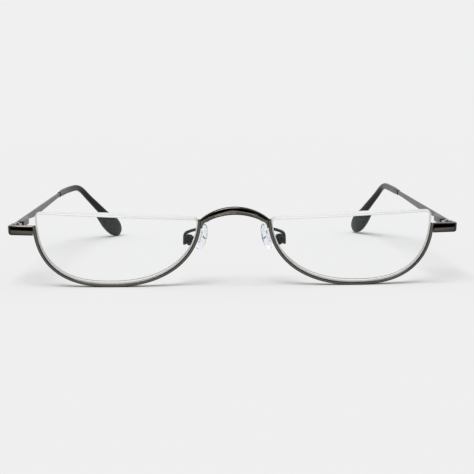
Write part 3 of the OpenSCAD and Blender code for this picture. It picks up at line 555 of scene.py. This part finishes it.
# The shown rim and liner stop this much lower, inside what holds them
rim_short, liner_short = 0.9, 0.6
ear_end_v = bar_z / lean_c - lens_base + bar_h / 2 - ear_under + rim_end_over
nose_end_v = bridge_top - nose_x ** 2 / (2 * bridge_r) - lens_base - nose_under
channel = rim_d / 2 - rim_wall
channel_floor = lens_base - rim_wall
outer_flank = lens_base - 0.03
RIM_STATIONS, LINER_STATIONS = 340, 260


def rim_side_path(nose_v, ear_v, n):
    """From the nose side, down round the bottom and up to height ear_v."""
    path = np.vstack([side_curve(-1, 0, nose_v)[::-1], side_curve(1, 0, ear_v)[1:]])
    return resample(path, n)


# Sections (outward, back), each corner with its own radius
rim_section = rounded(
    [(seat_gap, -rim_d / 2), (outer_flank, -rim_d / 2), (lens_base, 0), (outer_flank, rim_d / 2),
     (seat_gap, rim_d / 2), (seat_gap, channel), (channel_floor, channel),
     (channel_floor, -channel), (seat_gap, -channel)],
    [0.3, 0.42, 1.5, 0.34, 0.1, 0.03, 0.1, 0.1, 0.03], 6)
tongue = groove_w / 2 - 2 * fine
tongue_end = fine - groove_d
liner_in, liner_half = channel_floor - fine, channel - fine
liner_section = rounded(
    [(liner_in, liner_half), (seat_gap, liner_half), (seat_gap, tongue), (tongue_end, tongue),
     (tongue_end, -tongue), (seat_gap, -tongue), (seat_gap, -liner_half), (liner_in, -liner_half)],
    [0.08, 0.02, 0.02, 0.08, 0.08, 0.02, 0.02, 0.08], 3)

for side in SIDES:
    path = rim_side_path(nose_end_v, ear_end_v - rim_short, RIM_STATIONS)
    v, f = tube(sweep_front(path, rim_section))
    ob = new_object("rim_wire_" + side, sided(leaned(v), side), f, [gunmetal])
    stand_for(ob, "front", "dark_metal", "rim_" + side)
    path = rim_side_path(thread_low - liner_short, thread_low - liner_short, LINER_STATIONS)
    v, f = tube(sweep_front(path, liner_section))
    ob = new_object("nylon_liner_" + side, sided(leaned(v), side), f, [nylon])
    stand_for(ob, "front", "clear_nylon", "rim_liner_" + side)


# ---------- round wire, made by geometry nodes; the threads

def wire_tree():
    """Mesh line to round wire: inputs are the wire's radius and the number of its sides."""
    t = bpy.data.node_groups.new("round_wire", "GeometryNodeTree")
    for name, kind in (("Line", "Geometry"), ("Wire radius", "Float"), ("Sides", "Int"),
                       ("Finish", "Material")):
        t.interface.new_socket(name, in_out="INPUT", socket_type="NodeSocket" + kind)
    t.interface.new_socket("Wire", in_out="OUTPUT", socket_type="NodeSocketGeometry")
    given = add(t, "NodeGroupInput").outputs
    line = add(t, "GeometryNodeMeshToCurve", {"Mesh": given["Line"]})
    ring = add(t, "GeometryNodeCurvePrimitiveCircle", {
        "Resolution": given["Sides"], "Radius": given["Wire radius"]})
    round_line = add(t, "GeometryNodeCurveToMesh", {
        "Curve": line.outputs[0], "Profile Curve": ring.outputs["Curve"], "Fill Caps": True})
    real = add(t, "GeometryNodeRealizeInstances", {"Geometry": round_line.outputs[0]})
    done = add(t, "GeometryNodeSetMaterial", {
        "Geometry": real.outputs[0], "Material": given["Finish"]})
    add(t, "NodeGroupOutput", {"Wire": done.outputs[0]})
    return t


round_wire = wire_tree()


def wire(name, points, radius, material, sides=20):
    """Round wire along points in millimetres, in the rest pose."""
    steps = [(i, i + 1) for i in range(len(points) - 1)]
    me = bpy.data.meshes.new(name)
    me.from_pydata((np.asarray(points) * MM).tolist(), steps, [])
    ob = placed(name, me)
    m = ob.modifiers.new("wire", "NODES")
    m.node_group = round_wire
    ids = {s.name: s.identifier for s in round_wire.interface.items_tree if s.in_out == "INPUT"}
    m[ids["Wire radius"]] = radius * MM
    m[ids["Sides"]] = sides
    m[ids["Finish"]] = material
    applied(ob)
    tidy_mesh(ob.data, EASED_CREASE)
    return ob


# The shown thread is this much thinner than the solid, which it stays inside
thread_r = thread_d / 2 - 0.005
THREAD_STATIONS, THREAD_SIDES = 240, 16


def thread_line():
    inset = thread_d / 2 - groove_d + 2 * fine
    path = resample(over_top(thread_low), THREAD_STATIONS)
    return sweep_front(path, [(inset, 0)])[:, 0, :]


for side in SIDES:
    line = sided(leaned(thread_line()), side)
    ob = wire("nylon_thread_" + side, line, thread_r, nylon, THREAD_SIDES)
    stand_for(ob, "front", "clear_nylon", "lens_thread_" + side)

# ---------- lenses

rear_r = 1 / (1 / front_r - power / (index - 1) / 1000)
curve_c = np.array([mid_x, front_r + rim_proud, vertex_z])
optic_u, optic_z = pupil_gap / 2, lens_base + lens_h - centre_drop
optic_front = np.array([optic_u, rim_proud + sag(optic_u, optic_z - lens_base), optic_z])
optic_dir = (optic_front - curve_c) / np.linalg.norm(optic_front - curve_c)
rear_c = curve_c - optic_dir * (rear_r + lens_t - front_r)

# The lens's edge: its front and rear bevels, the dark line inside the rear one, the groove's sides
front_bevel, front_bevel_back, rear_bevel, rear_bevel_back, line_w = 0.14, 0.126, 0.36, 0.18, 0.15
groove_slope = 0.12
# Where the faces' rings close in the middle, and how finely they are drawn
heart = np.array([mid_x, lens_h * 0.52])
LENS_POINTS, LENS_RINGS = 420, 40
POLISHED, GROUND, BEVEL, LINE = range(4)


def on_sphere(uv, centre, r):
    """Points of the outline plane carried back onto a sphere's near face."""
    x, z = uv[:, 0], uv[:, 1] + lens_base
    back = centre[1] - np.sqrt(r * r - (x - centre[0]) ** 2 - (z - centre[2]) ** 2)
    return np.stack([x, back, z], 1)


def lens_mesh():
    """Points, faces and finishes of a lens, in rings from the front's middle to the rear's."""
    outline = resample(over_top(0)[1:-1], LENS_POINTS, closed=True)
    normal = outward_normals(outline, True)
    rings, finish = [], []

    def inset(d):
        return outline - normal * d

    def ring(p, slot, dy=0):
        """Adds a ring, moved back by dy, with the finish of the faces from it to the next."""
        rings.append(p + [0, dy, 0])
        finish.append(slot)

    rim_line = on_sphere(outline, curve_c, front_r)
    groove_floor = on_sphere(inset(groove_d), curve_c, front_r)
    groove_floor[:, 1] = rim_line[:, 1]
    groove_mid = groove_y - rim_proud
    scales = np.linspace(1, 0, LENS_RINGS)[1:-1]
    face = inset(front_bevel)
    for k in scales[::-1]:
        ring(on_sphere(heart + (face - heart) * k, curve_c, front_r), POLISHED)
    ring(on_sphere(face, curve_c, front_r), GROUND)
    ring(rim_line, GROUND, front_bevel_back)
    ring(rim_line, GROUND, groove_mid - groove_w / 2)
    ring(groove_floor, GROUND, groove_mid - groove_w / 2 + groove_slope)
    ring(groove_floor, GROUND, groove_mid + groove_w / 2 - groove_slope)
    ring(rim_line, GROUND, groove_mid + groove_w / 2)
    ring(on_sphere(outline, rear_c, rear_r), BEVEL, -rear_bevel_back)
    ring(on_sphere(inset(rear_bevel), rear_c, rear_r), LINE)
    face = inset(rear_bevel + line_w)
    ring(on_sphere(face, rear_c, rear_r), POLISHED)
    for k in scales:
        ring(on_sphere(heart + (face - heart) * k, rear_c, rear_r), POLISHED)

    n, m = len(rings), len(outline)
    front_heart, rear_heart = n * m, n * m + 1
    middles = [on_sphere(heart[None], curve_c, front_r), on_sphere(heart[None], rear_c, rear_r)]
    faces = tube_faces(n, m)
    slots = [slot for slot in finish[:-1] for _ in range(m)]
    faces += [(front_heart, (j + 1) % m, j) for j in range(m)]
    faces += [(rear_heart, (n - 1) * m + j, (n - 1) * m + (j + 1) % m) for j in range(m)]
    slots += [POLISHED] * (2 * m)
    return np.vstack(rings + middles), faces, slots


LENS_FINISHES = [lens_plastic, ground_edge, matt_bevel, bevel_line]
for side in SIDES:
    v, f, slots = lens_mesh()
    ob = new_object("lens_blank_" + side, sided(leaned(v), side), f, LENS_FINISHES, slots,
                    LENS_CREASE)
    stand_for(ob, "front", "lens", "lens_" + side)

# ---------- bridge

# The bridge stands this far ahead of the front curve, and its feet this far off the rims
bridge_ahead, foot_off = 0.2, 0.03
bridge_y = float(sag(nose_x, side_h / 2)) - bridge_ahead
foot_x = nose_x - lens_base - foot_off
shoulder_z = bridge_top - bridge_r + math.sqrt(bridge_r ** 2 - foot_x ** 2)
foot_z = shoulder_z - bridge_foot

# The outline leaves the upper arc at a shoulder (out, down), whose side runs down to the foot;
# the toe is a quarter ellipse from the foot back up to the lower arc
arc_over, shoulder_turn, side_from = 0.65, ((0.75, 0.75), (0.55, 1.0)), 1.1
toe_in, toe_w, toe_h = 0.45, 1.55, 2.05
under_in, under_share = 2.15, 0.95
foot_trim = 0.25
ARC_POINTS, FOOT_POINTS, BRIDGE_POINTS = 60, 12, 420

# Rings of the bridge's section: how far each is from the front or rear face, and how far inset
FACE_RINGS = [(0, 0.62), (0.055, 0.46), (0.12, 0.305), (0.2, 0.185), (0.28, 0.105),
              (0.39, 0.035), (0.5, 0)]
REAR_RINGS = [(0.5, 0), (0.32, 0.07), (0.15, 0.21), (0.06, 0.34), (0, 0.46)]

# The engraved groove, over the bridge's under side: its top and its lower lip, which rises from
# the first depth to the second
slot_top, slot_top_in, slot_low_in = 1.25, 0.3, 0.8
slot_lips = ((-0.2, 0.5), (0.25, 1.05))


def arch(r, top, x):
    return top - r + np.sqrt(r * r - np.asarray(x, float) ** 2)


def foot_side(z):
    """Where the bridge's foot ends beside the rim, at height z."""
    share = math.sin(side_angle(-1, z - lens_base)) ** (2 / nose_power)
    return low_x - (low_x - nose_x) * share - lens_base - foot_off


def bridge_outline(e):
    """The bridge seen from the front, inset by e."""
    f = min(e, foot_trim)
    x = np.linspace(0, foot_x + arc_over - e, ARC_POINTS)
    half = [np.stack([x, arch(bridge_r, bridge_top, x) - e], 1)]
    half.append(np.array([[foot_x + out - e, shoulder_z - down] for out, down in shoulder_turn]))
    z = np.linspace(shoulder_z - side_from, foot_z, FOOT_POINTS)
    half.append(np.array([[foot_side(k) - f / 2, k] for k in z]))
    a = np.radians(np.linspace(0, 90, FOOT_POINTS))
    toe_x = foot_side(foot_z) - toe_in - toe_w * (1 - np.cos(a)) + f / 2
    half.append(np.stack([toe_x, foot_z + toe_h * np.sin(a) + f], 1))
    x = np.linspace((foot_x - under_in) * under_share, 0, ARC_POINTS)
    half.append(np.stack([x, arch(bridge_under_r, bridge_top - bridge_h, x) + e], 1))
    h = resample(np.vstack(half), BRIDGE_POINTS // 2 + 1)
    return np.vstack([h, (h * np.array([-1, 1]))[::-1][1:-1]])


def bridge_rings():
    steps = FACE_RINGS + [(bridge_d - y, e) for y, e in REAR_RINGS]
    return np.array([stood(bridge_outline(e), bridge_y + y) for y, e in steps])


def slot_tool():
    """A groove along the bridge's face whose lower lip slopes and catches the light from above."""
    x = np.linspace(-slot_half, slot_half, ARC_POINTS)
    under = bridge_top - bridge_h
    rings = []
    for y, low_at in slot_lips:
        top = np.stack([x, arch(bridge_r - slot_top_in, under + slot_top, x)], 1)
        low = np.stack([x, arch(bridge_r - slot_low_in, under + low_at, x)], 1)[::-1]
        rings.append(stood(np.vstack([top, low]), bridge_y + y))
    return tube(np.array(rings))


v, f = tube(bridge_rings())
bridge_bar = new_object("bridge_bar", leaned(v), f, [gunmetal])
v, f = slot_tool()
# The groove's cut faces take the paler metal, a painted highlight along the lip
cut(bridge_bar, leaned(v), f, groove_highlight_paint)
stand_for(bridge_bar, "front", "dark_metal", "bridge")

# ---------- end pieces and hinges: the solids with their edges eased

# Solid, name, finish, slot, body (one that ends in _ has a side) and width of the eased edge
EASED = [
    ("end_piece", "end_bar", gunmetal, "dark_metal", "front", 0.3),
    ("front_knuckle", "knuckle_pair", steel, "bright_steel", "front", 0.05),
    ("pad_box", "pad_box_cup", smoked, "bright_steel", "front", 0.08),
    ("pad_screw", "pad_screw_body", smoked, "bright_steel", "front", 0.04),
    ("hinge_screw", "hinge_screw_body", steel, "bright_steel", "hinge_pin_", 0.03),
    ("hinge_carriage", "slide_block", steel, "bright_steel", "carriage_", 0.05),
    ("spring_rod", "rod_with_head", steel, "bright_steel", "carriage_", 0.03),
    ("spring_housing", "housing_shell", satin, "satin_metal", "temple_", 0.1),
    ("pad_mount", "pad_insert", silicone, "clear_silicone", "pad_", 0.08)]
for node, name, finish, slot, body, width in EASED:
    shape = round_outer_end if node == "end_piece" else None
    for side in SIDES:
        ob = from_cad(f"{node}_{side}", f"{name}_{side}", finish, width, shape)
        stand_for(ob, body + side if body.endswith("_") else body, slot, f"{node}_{side}")

# ---------- nose pads and their arms

screw_y = float(sag(nose_x, pad_z - lens_base)) + pad_y
# The pad's width through its thickness, as shares, kept just inside the solid; its front closes
# in two more rings
PAD_AT, PAD_WIDE = [0, 0.14, 0.38, 0.66, 0.88, 1], [0.72, 0.9, 1, 0.96, 0.78, 0.45]
PAD_BACK, PAD_FRONT, PAD_KEPT = [0.3], [0.3, 0.12], 0.995
egg = 0.14
PAD_RINGS, PAD_POINTS, PAD_BLUR = 26, 72, 5
# The pad is hollow for its plate, and for the lug from this far behind the plate
lug_room, plate_back = 1, 0.1

# The arm leaves the rim this far under its nose end, then loops (out, back, up) past the pad's
# screw and turns down behind the box; how deep it starts in the rim and ends beside the box are
# shares of the rim's and the arm's own sizes
arm_under, arm_start = 3.4, (0.4, 1.2, 0)
in_rim_share, off_rim_share, off_box_out, off_box_front = 0.5, 0.4, 0.45, 0.3
ARM_LOOP = [(-1.8, 1.2, 2.9), (-0.2, 1.2, 2.5), (1.4, 0.2, 1.95)]
arm_on_box = box_back + 0.1
arm_top, arm_foot = (0, 0, 0.2), (0, 0, -1)


def at_pad(p):
    """From the pad's own axes (to the nose, back, up) to the upright front."""
    p = np.asarray(p, float) * np.array([-1, 1, 1])
    a, b = math.radians(-pad_lean), math.radians(-pad_splay)
    x, y, z = p[..., 0], p[..., 1], p[..., 2]
    x, z = x * math.cos(a) + z * math.sin(a), -x * math.sin(a) + z * math.cos(a)
    x, y = x * math.cos(b) - y * math.sin(b), x * math.sin(b) + y * math.cos(b)
    return np.stack([x + pad_x, y + screw_y, z + pad_z], -1)


def pad_rings():
    """A soft, slightly egg-shaped pad, domed toward the nose."""
    t = np.linspace(0, 1, PAD_RINGS)
    wide = np.pad(np.interp(t, PAD_AT, PAD_WIDE), PAD_BLUR // 2, "edge")
    wide = np.convolve(wide, np.ones(PAD_BLUR) / PAD_BLUR, "valid")
    shares = np.concatenate([PAD_BACK, wide * PAD_KEPT, PAD_FRONT])
    depths = np.concatenate([[0], pad_t * t, [pad_t, pad_t]])
    a = np.radians(np.linspace(0, 360, PAD_POINTS, endpoint=False))
    half_w = pad_w / 2 * (1 - egg * np.sin(a))
    return np.array([
        np.stack([np.full(PAD_POINTS, pad_stem + x), k * half_w * np.cos(a),
                  k * pad_len / 2 * np.sin(a) + pad_rise], 1)
        for x, k in zip(depths, shares)])


def box_mesh(lo, hi):
    v = [(x, y, z) for x in (lo[0], hi[0]) for y in (lo[1], hi[1]) for z in (lo[2], hi[2])]
    f = [(0, 1, 3, 2), (4, 6, 7, 5), (0, 4, 5, 1), (2, 3, 7, 6), (0, 2, 6, 4), (1, 5, 7, 3)]
    return np.array(v), f


def spline(p, per=12):
    """A smooth line through points, with this many steps from each to the next."""
    p = np.asarray(p, float)
    out = []
    for i in range(len(p) - 1):
        a, b, c, d = p[max(0, i - 1)], p[i], p[i + 1], p[min(len(p) - 1, i + 2)]
        for k in range(per):
            t = k / per
            square, cube = 2 * a - 5 * b + 4 * c - d, 3 * b - a - 3 * c + d
            out.append(0.5 * (2 * b + (c - a) * t + square * t ** 2 + cube * t ** 3))
    return np.array(out + [p[-1]])


def arm_points():
    screw = np.array([pad_x, screw_y, pad_z])
    a = math.radians(pad_splay)
    on_box = screw + [arm_on_box * math.cos(a), -arm_on_box * math.sin(a), 0]
    on_box += [arm_d * off_box_out, -arm_d * off_box_front, 0]
    v = nose_end_v - arm_under
    u = foot_side(v + lens_base) + lens_base + foot_off
    start = np.array([
        u - lens_base * in_rim_share,
        float(sag(u, v)) + rim_d + arm_d * off_rim_share, lens_base + v])
    return np.array([start, start + arm_start, *(screw + ARM_LOOP), on_box + arm_top,
                     on_box + arm_foot])


for side in SIDES:
    v, f = tube(pad_rings())
    ob = new_object("nose_pad_body_" + side, sided(leaned(at_pad(v)), side), f, [silicone],
                    crease=PAD_CREASE)
    half_w, half_len = plate_w / 2 + fine, plate_len / 2 + fine
    v, f = box_mesh(
        (pad_stem - lug_room, -half_w, pad_rise - half_len),
        (pad_stem - plate_back + plate_t + fine, half_w, pad_rise + half_len))
    cut(ob, sided(leaned(at_pad(v)), side), f)
    stand_for(ob, "pad_" + side, "clear_silicone", "nose_pad_" + side)
    ob = wire("pad_wire_" + side, sided(leaned(spline(arm_points())), side), arm_d / 2, smoked)
    stand_for(ob, "front", "bright_steel", "pad_arm_" + side)

# ---------- temples

# The bar lies this far inside the end piece, and swells over this length before it is full
bar_inside, swell_len = 0.05, 11
bar_x = out_x - temple_t - bar_inside
temple_y = tab_end + butt_gap
mouth_at = hinge_y + mouth_y
bar_end_y = mouth_at + socket_len
full_y = hinge_y + full_at
# Radius of the bar's long edges, and the rings that ease its two ends: how far in and how inset
bar_edge_r = 0.2
BAR_FRONT, BAR_FRONT_INSET = np.array([0, 0.03, 0.12]), [0.12, 0.04, 0]
bar_even_from, bar_rear, bar_rear_inset = 0.6, 0.1, 0.1
BAR_STATIONS = 150


def lower_line(y):
    """How far under the hinge's height the bar reaches."""
    swell = (temple_neck_h / 2
             + (temple_h - temple_neck_h) * smooth(y, full_y - swell_len, full_y))
    taper = (temple_h - temple_neck_h / 2
             - (temple_h - temple_end_h) * smooth(y, full_y, mouth_at))
    return np.where(y < full_y, swell, taper)


def temple_rings(side):
    even = np.linspace(temple_y + bar_even_from, bar_end_y - bar_rear, BAR_STATIONS)
    stations = np.concatenate([temple_y + BAR_FRONT, even, [bar_end_y]])
    insets = np.concatenate([BAR_FRONT_INSET, np.zeros(BAR_STATIONS), [bar_rear_inset]])
    rings = []
    for y, e in zip(stations, insets):
        x = bar_x + splay[side] * (y - temple_y) / (mouth_at - temple_y)
        low, high = bar_z - float(lower_line(np.array(y))), bar_z + temple_neck_h / 2
        corners = [(x + e, low + e), (x + temple_t - e, low + e),
                   (x + temple_t - e, high - e), (x + e, high - e)]
        rings.append(stood(rounded(corners, [bar_edge_r] * 4, 6), y))
    return np.array(rings)


for side in SIDES:
    v, f = tube(temple_rings(side))
    ob = new_object("temple_bar_" + side, sided(level(v), side), f, [satin])
    stand_for(ob, "temple_" + side, "satin_metal", "temple_" + side)

# ---------- ear tips

end_mid = bar_z + (temple_neck_h - temple_end_h) / 2
# The tip starts to fall after its mouth, and is a neck from here on
fall_from, mouth_len, neck_from = 2, 0.6, 6
# It grows to a spoon and then to the paddle, over these shares of its length
spoon_h = 1.35 * tip_neck_h
spoon_from, spoon_to, paddle_from, paddle_to = 0.5, 0.76, 0.74, 0.89
# The sleeve's hole: the bar's half section and the play round it
hole_w, hole_h = temple_t / 2 + 0.1, temple_end_h / 2 + 0.1
# Powers of the sections, from near a box to near an ellipse
BOXY, MOUTH_BOXY, OVAL = 0.35, 0.4, 0.75
# Rings: depths in the hole, and (distance, inset) round the mouth's lip
HOLE_RINGS = (4.0, 2.0, 0.4, 0.12)
hole_mouth, hole_mouth_w, hole_mouth_h = 0.03, 0.05, 0.04
LIP_RINGS = ((0, 0.1), (0.03, 0.05), (0.1, 0.0))
body_from = 0.3
# The paddle's end is a quarter turn (degrees) of an ellipse, kept just inside the solid
end_turn, end_kept, end_power = (4, 84), 0.08, 0.8
TIP_STEP = 0.25


def tip_heading(s, side):
    """Which way the tip runs at distance s from its mouth, in the temples' level frame."""
    bend_from, bend_to = bend_at - bend_len / 2, bend_at + bend_len / 2
    dip = -fall * smooth(s, fall_from, bend_from) - drop * smooth(s, bend_from, bend_to)
    swing = (early[side] * smooth(s, 0, bend_at)
             + (turn[side] - early[side]) * smooth(s, bend_from, bend_at + bend_len))
    lead = math.degrees(math.atan(splay[side] / (mouth_at - temple_y)))
    a, b = np.radians(dip), np.radians(swing - lead)
    return np.stack([-np.sin(b) * np.cos(a), np.cos(b) * np.cos(a), np.sin(a)], -1)


def tip_height(s):
    neck = np.interp(s, [0, mouth_len, neck_from], [tip_mouth_h, tip_mouth_h, tip_neck_h])
    spoon = (spoon_h - tip_neck_h) * smooth(s, tip_len * spoon_from, tip_len * spoon_to)
    paddle = (paddle_h - spoon_h) * smooth(s, tip_len * paddle_from, tip_len * paddle_to)
    return neck + spoon + paddle


def tip_width(s):
    at = [0, mouth_len, neck_from, bend_at, tip_len * paddle_from, tip_len - end_r]
    mean = (tip_neck_w + paddle_w) / 2
    return np.interp(s, at, [tip_mouth_w, tip_mouth_w, tip_neck_w, tip_neck_w, mean, paddle_w])


def super_ring(c, w, h, side_v, up_v, k, n=48):
    """A superellipse round c, with half sizes w and h along side_v and up_v."""
    a = np.radians(np.linspace(0, 360, n, endpoint=False))
    cx = np.sign(np.cos(a)) * np.abs(np.cos(a)) ** k
    cz = np.sign(np.sin(a)) * np.abs(np.sin(a)) ** k
    return c + w * cx[:, None] * side_v + h * cz[:, None] * up_v


def tip_rings(side):
    """Rings from inside the hole, out round the mouth and along the tip to the paddle's end."""
    s = np.arange(0, tip_len + TIP_STEP / 2, TIP_STEP)
    start = np.array([bar_x + temple_t / 2 + splay[side], mouth_at, end_mid])
    steps = np.cumsum(tip_heading(s[1:] - TIP_STEP / 2, side), 0) * TIP_STEP
    line = start + np.vstack([[0, 0, 0], steps])
    rings = []

    def ring_at(at, w, h, k):
        d = tip_heading(np.array(max(at, 0.0)), side)
        side_v = np.cross(d, [0, 0, 1])
        side_v /= np.linalg.norm(side_v)
        c = np.array([np.interp(at, s, line[:, i]) for i in range(3)])
        rings.append(super_ring(c, w, h, side_v, np.cross(side_v, d), k))

    for at in HOLE_RINGS:
        ring_at(at, hole_w, hole_h, BOXY)
    ring_at(hole_mouth, hole_w + hole_mouth_w, hole_h + hole_mouth_h, MOUTH_BOXY)
    for at, e in LIP_RINGS:
        ring_at(at, tip_mouth_w / 2 - e, tip_mouth_h / 2 - e, OVAL)
    body = np.concatenate([
        np.linspace(body_from, bend_at - bend_len, 40),
        np.linspace(bend_at - bend_len, bend_at + bend_len, 50)[1:],
        np.linspace(bend_at + bend_len, tip_len - end_r, 60)[1:]])
    for at in body:
        ring_at(at, float(tip_width(at)) / 2, float(tip_height(at)) / 2, OVAL)
    for a in np.radians(np.linspace(*end_turn, 18)):
        k = math.cos(a)
        at = tip_len - end_r + (end_r - end_kept) * math.sin(a)
        ring_at(at, paddle_w / 2 * k ** end_power, paddle_h / 2 * k, OVAL)
    return np.array(rings)


for side in SIDES:
    v, f = tube(tip_rings(side))
    ob = new_object("ear_tip_sleeve_" + side, sided(level(v), side), f, [acetate])
    stand_for(ob, "temple_" + side, "tip_black", "ear_tip_" + side)


# ---------- hinge springs, a helix on the rod

# Along the rod, from the hinge's screw back: the block, the rod's shoulder, the coil and the
# head, which stops short of the chamber's end; the coil has a little room at both ends
shoulder_gap, chamber_over, head_gap, coil_room = 0.25, 0.4, 0.3, 0.03
coil_from = mouth_gap + block_in + shoulder_gap + shoulder
head_from = mouth_gap + housing_len + chamber_over - head_gap - head_t
COIL_STEPS, COIL_SIDES = 24, 10


def spring_line():
    t = np.linspace(0, turns, turns * COIL_STEPS + 1)
    y0, y1 = coil_from + wire_d / 2 + coil_room, head_from - wire_d / 2 - coil_room
    return np.stack([
        hinge_x + coil_d / 2 * np.cos(2 * np.pi * t),
        hinge_y + y0 + (y1 - y0) * t / turns,
        bar_z + coil_d / 2 * np.sin(2 * np.pi * t)], 1)


for side in SIDES:
    coil = sided(level(spring_line()), side)
    ob = wire("spring_coil_" + side, coil, wire_d / 2, steel, COIL_SIDES)
    stand_for(ob, "carriage_" + side, "bright_steel", "hinge_spring_" + side)
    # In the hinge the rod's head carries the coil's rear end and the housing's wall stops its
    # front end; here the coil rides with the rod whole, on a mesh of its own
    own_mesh(ob)


# ---------- table, light and background

# Sizes of the stage in metres
TABLE_HALF, CARD_HALF = 6, 0.7
FLAG_Y, FLAG_TOP_Y, FLAG_H = -0.36, -0.32, 0.36
SHEET_END_Y, ABOVE_TABLE = -0.13, 0.0005
# The backdrop's colour, the share of its light that falls on the glasses, and the lamp
BACKDROP, AMBIENT = "F0F0F0", 0.55
SUN_POWER, SUN_WIDTH, SUN_TILT = 2.2, 40, (22, -11, 0)


def card(name, corners, material, floor=False):
    """A flat card of the stage; one that isn't the floor is seen in reflections alone."""
    me = bpy.data.meshes.new(name)
    me.from_pydata(corners, [], [(0, 1, 2, 3)])
    me.materials.append(material)
    ob = placed(name, me)
    if not floor:
        ob.visible_camera = ob.visible_diffuse = False
        ob.visible_shadow = ob.visible_transmission = False


def card_corners(half, y0, z0, y1, z1):
    """Corners of a card that runs from one side to the other."""
    return [(-half, y0, z0), (half, y0, z0), (half, y1, z1), (-half, y1, z1)]


card("table", card_corners(TABLE_HALF, -TABLE_HALF, 0, TABLE_HALF, 0), table_top, True)
card("dark_flag", card_corners(CARD_HALF, FLAG_Y, 0, FLAG_TOP_Y, FLAG_H), black_felt)
# The table's near half is dark in reflections alone, as if the pale sheet ended there
card("dark_near_table",
     card_corners(CARD_HALF, FLAG_Y, ABOVE_TABLE, SHEET_END_Y, ABOVE_TABLE), black_felt)

world = bpy.data.worlds.new("studio")
world.use_nodes = True
sky = world.node_tree
sky.nodes.clear()
# The eye, reflections and clear pieces see the pale backdrop; the light it gives is softer
ray = add(sky, "ShaderNodeLightPath").outputs
seen = add(sky, "ShaderNodeMath", {0: ray["Is Camera Ray"], 1: ray["Is Glossy Ray"]},
           operation="MAXIMUM").outputs[0]
seen = add(sky, "ShaderNodeMath", {0: seen, 1: ray["Is Transmission Ray"]},
           operation="MAXIMUM").outputs[0]
strength = add(sky, "ShaderNodeMapRange", {"Value": seen, "To Min": AMBIENT, "To Max": 1.0})
backdrop = add(sky, "ShaderNodeBackground", {
    "Color": srgb(BACKDROP), "Strength": strength.outputs[0]})
add(sky, "ShaderNodeOutputWorld", {"Surface": backdrop.outputs[0]})
bpy.context.scene.world = world

sun = bpy.data.lights.new("soft_top_light", "SUN")
sun.energy = SUN_POWER
sun.angle = math.radians(SUN_WIDTH)
lamp = placed("soft_top_light", sun)
lamp.rotation_euler = [math.radians(a) for a in SUN_TILT]

bpy.context.scene.view_settings.view_transform = "Standard"
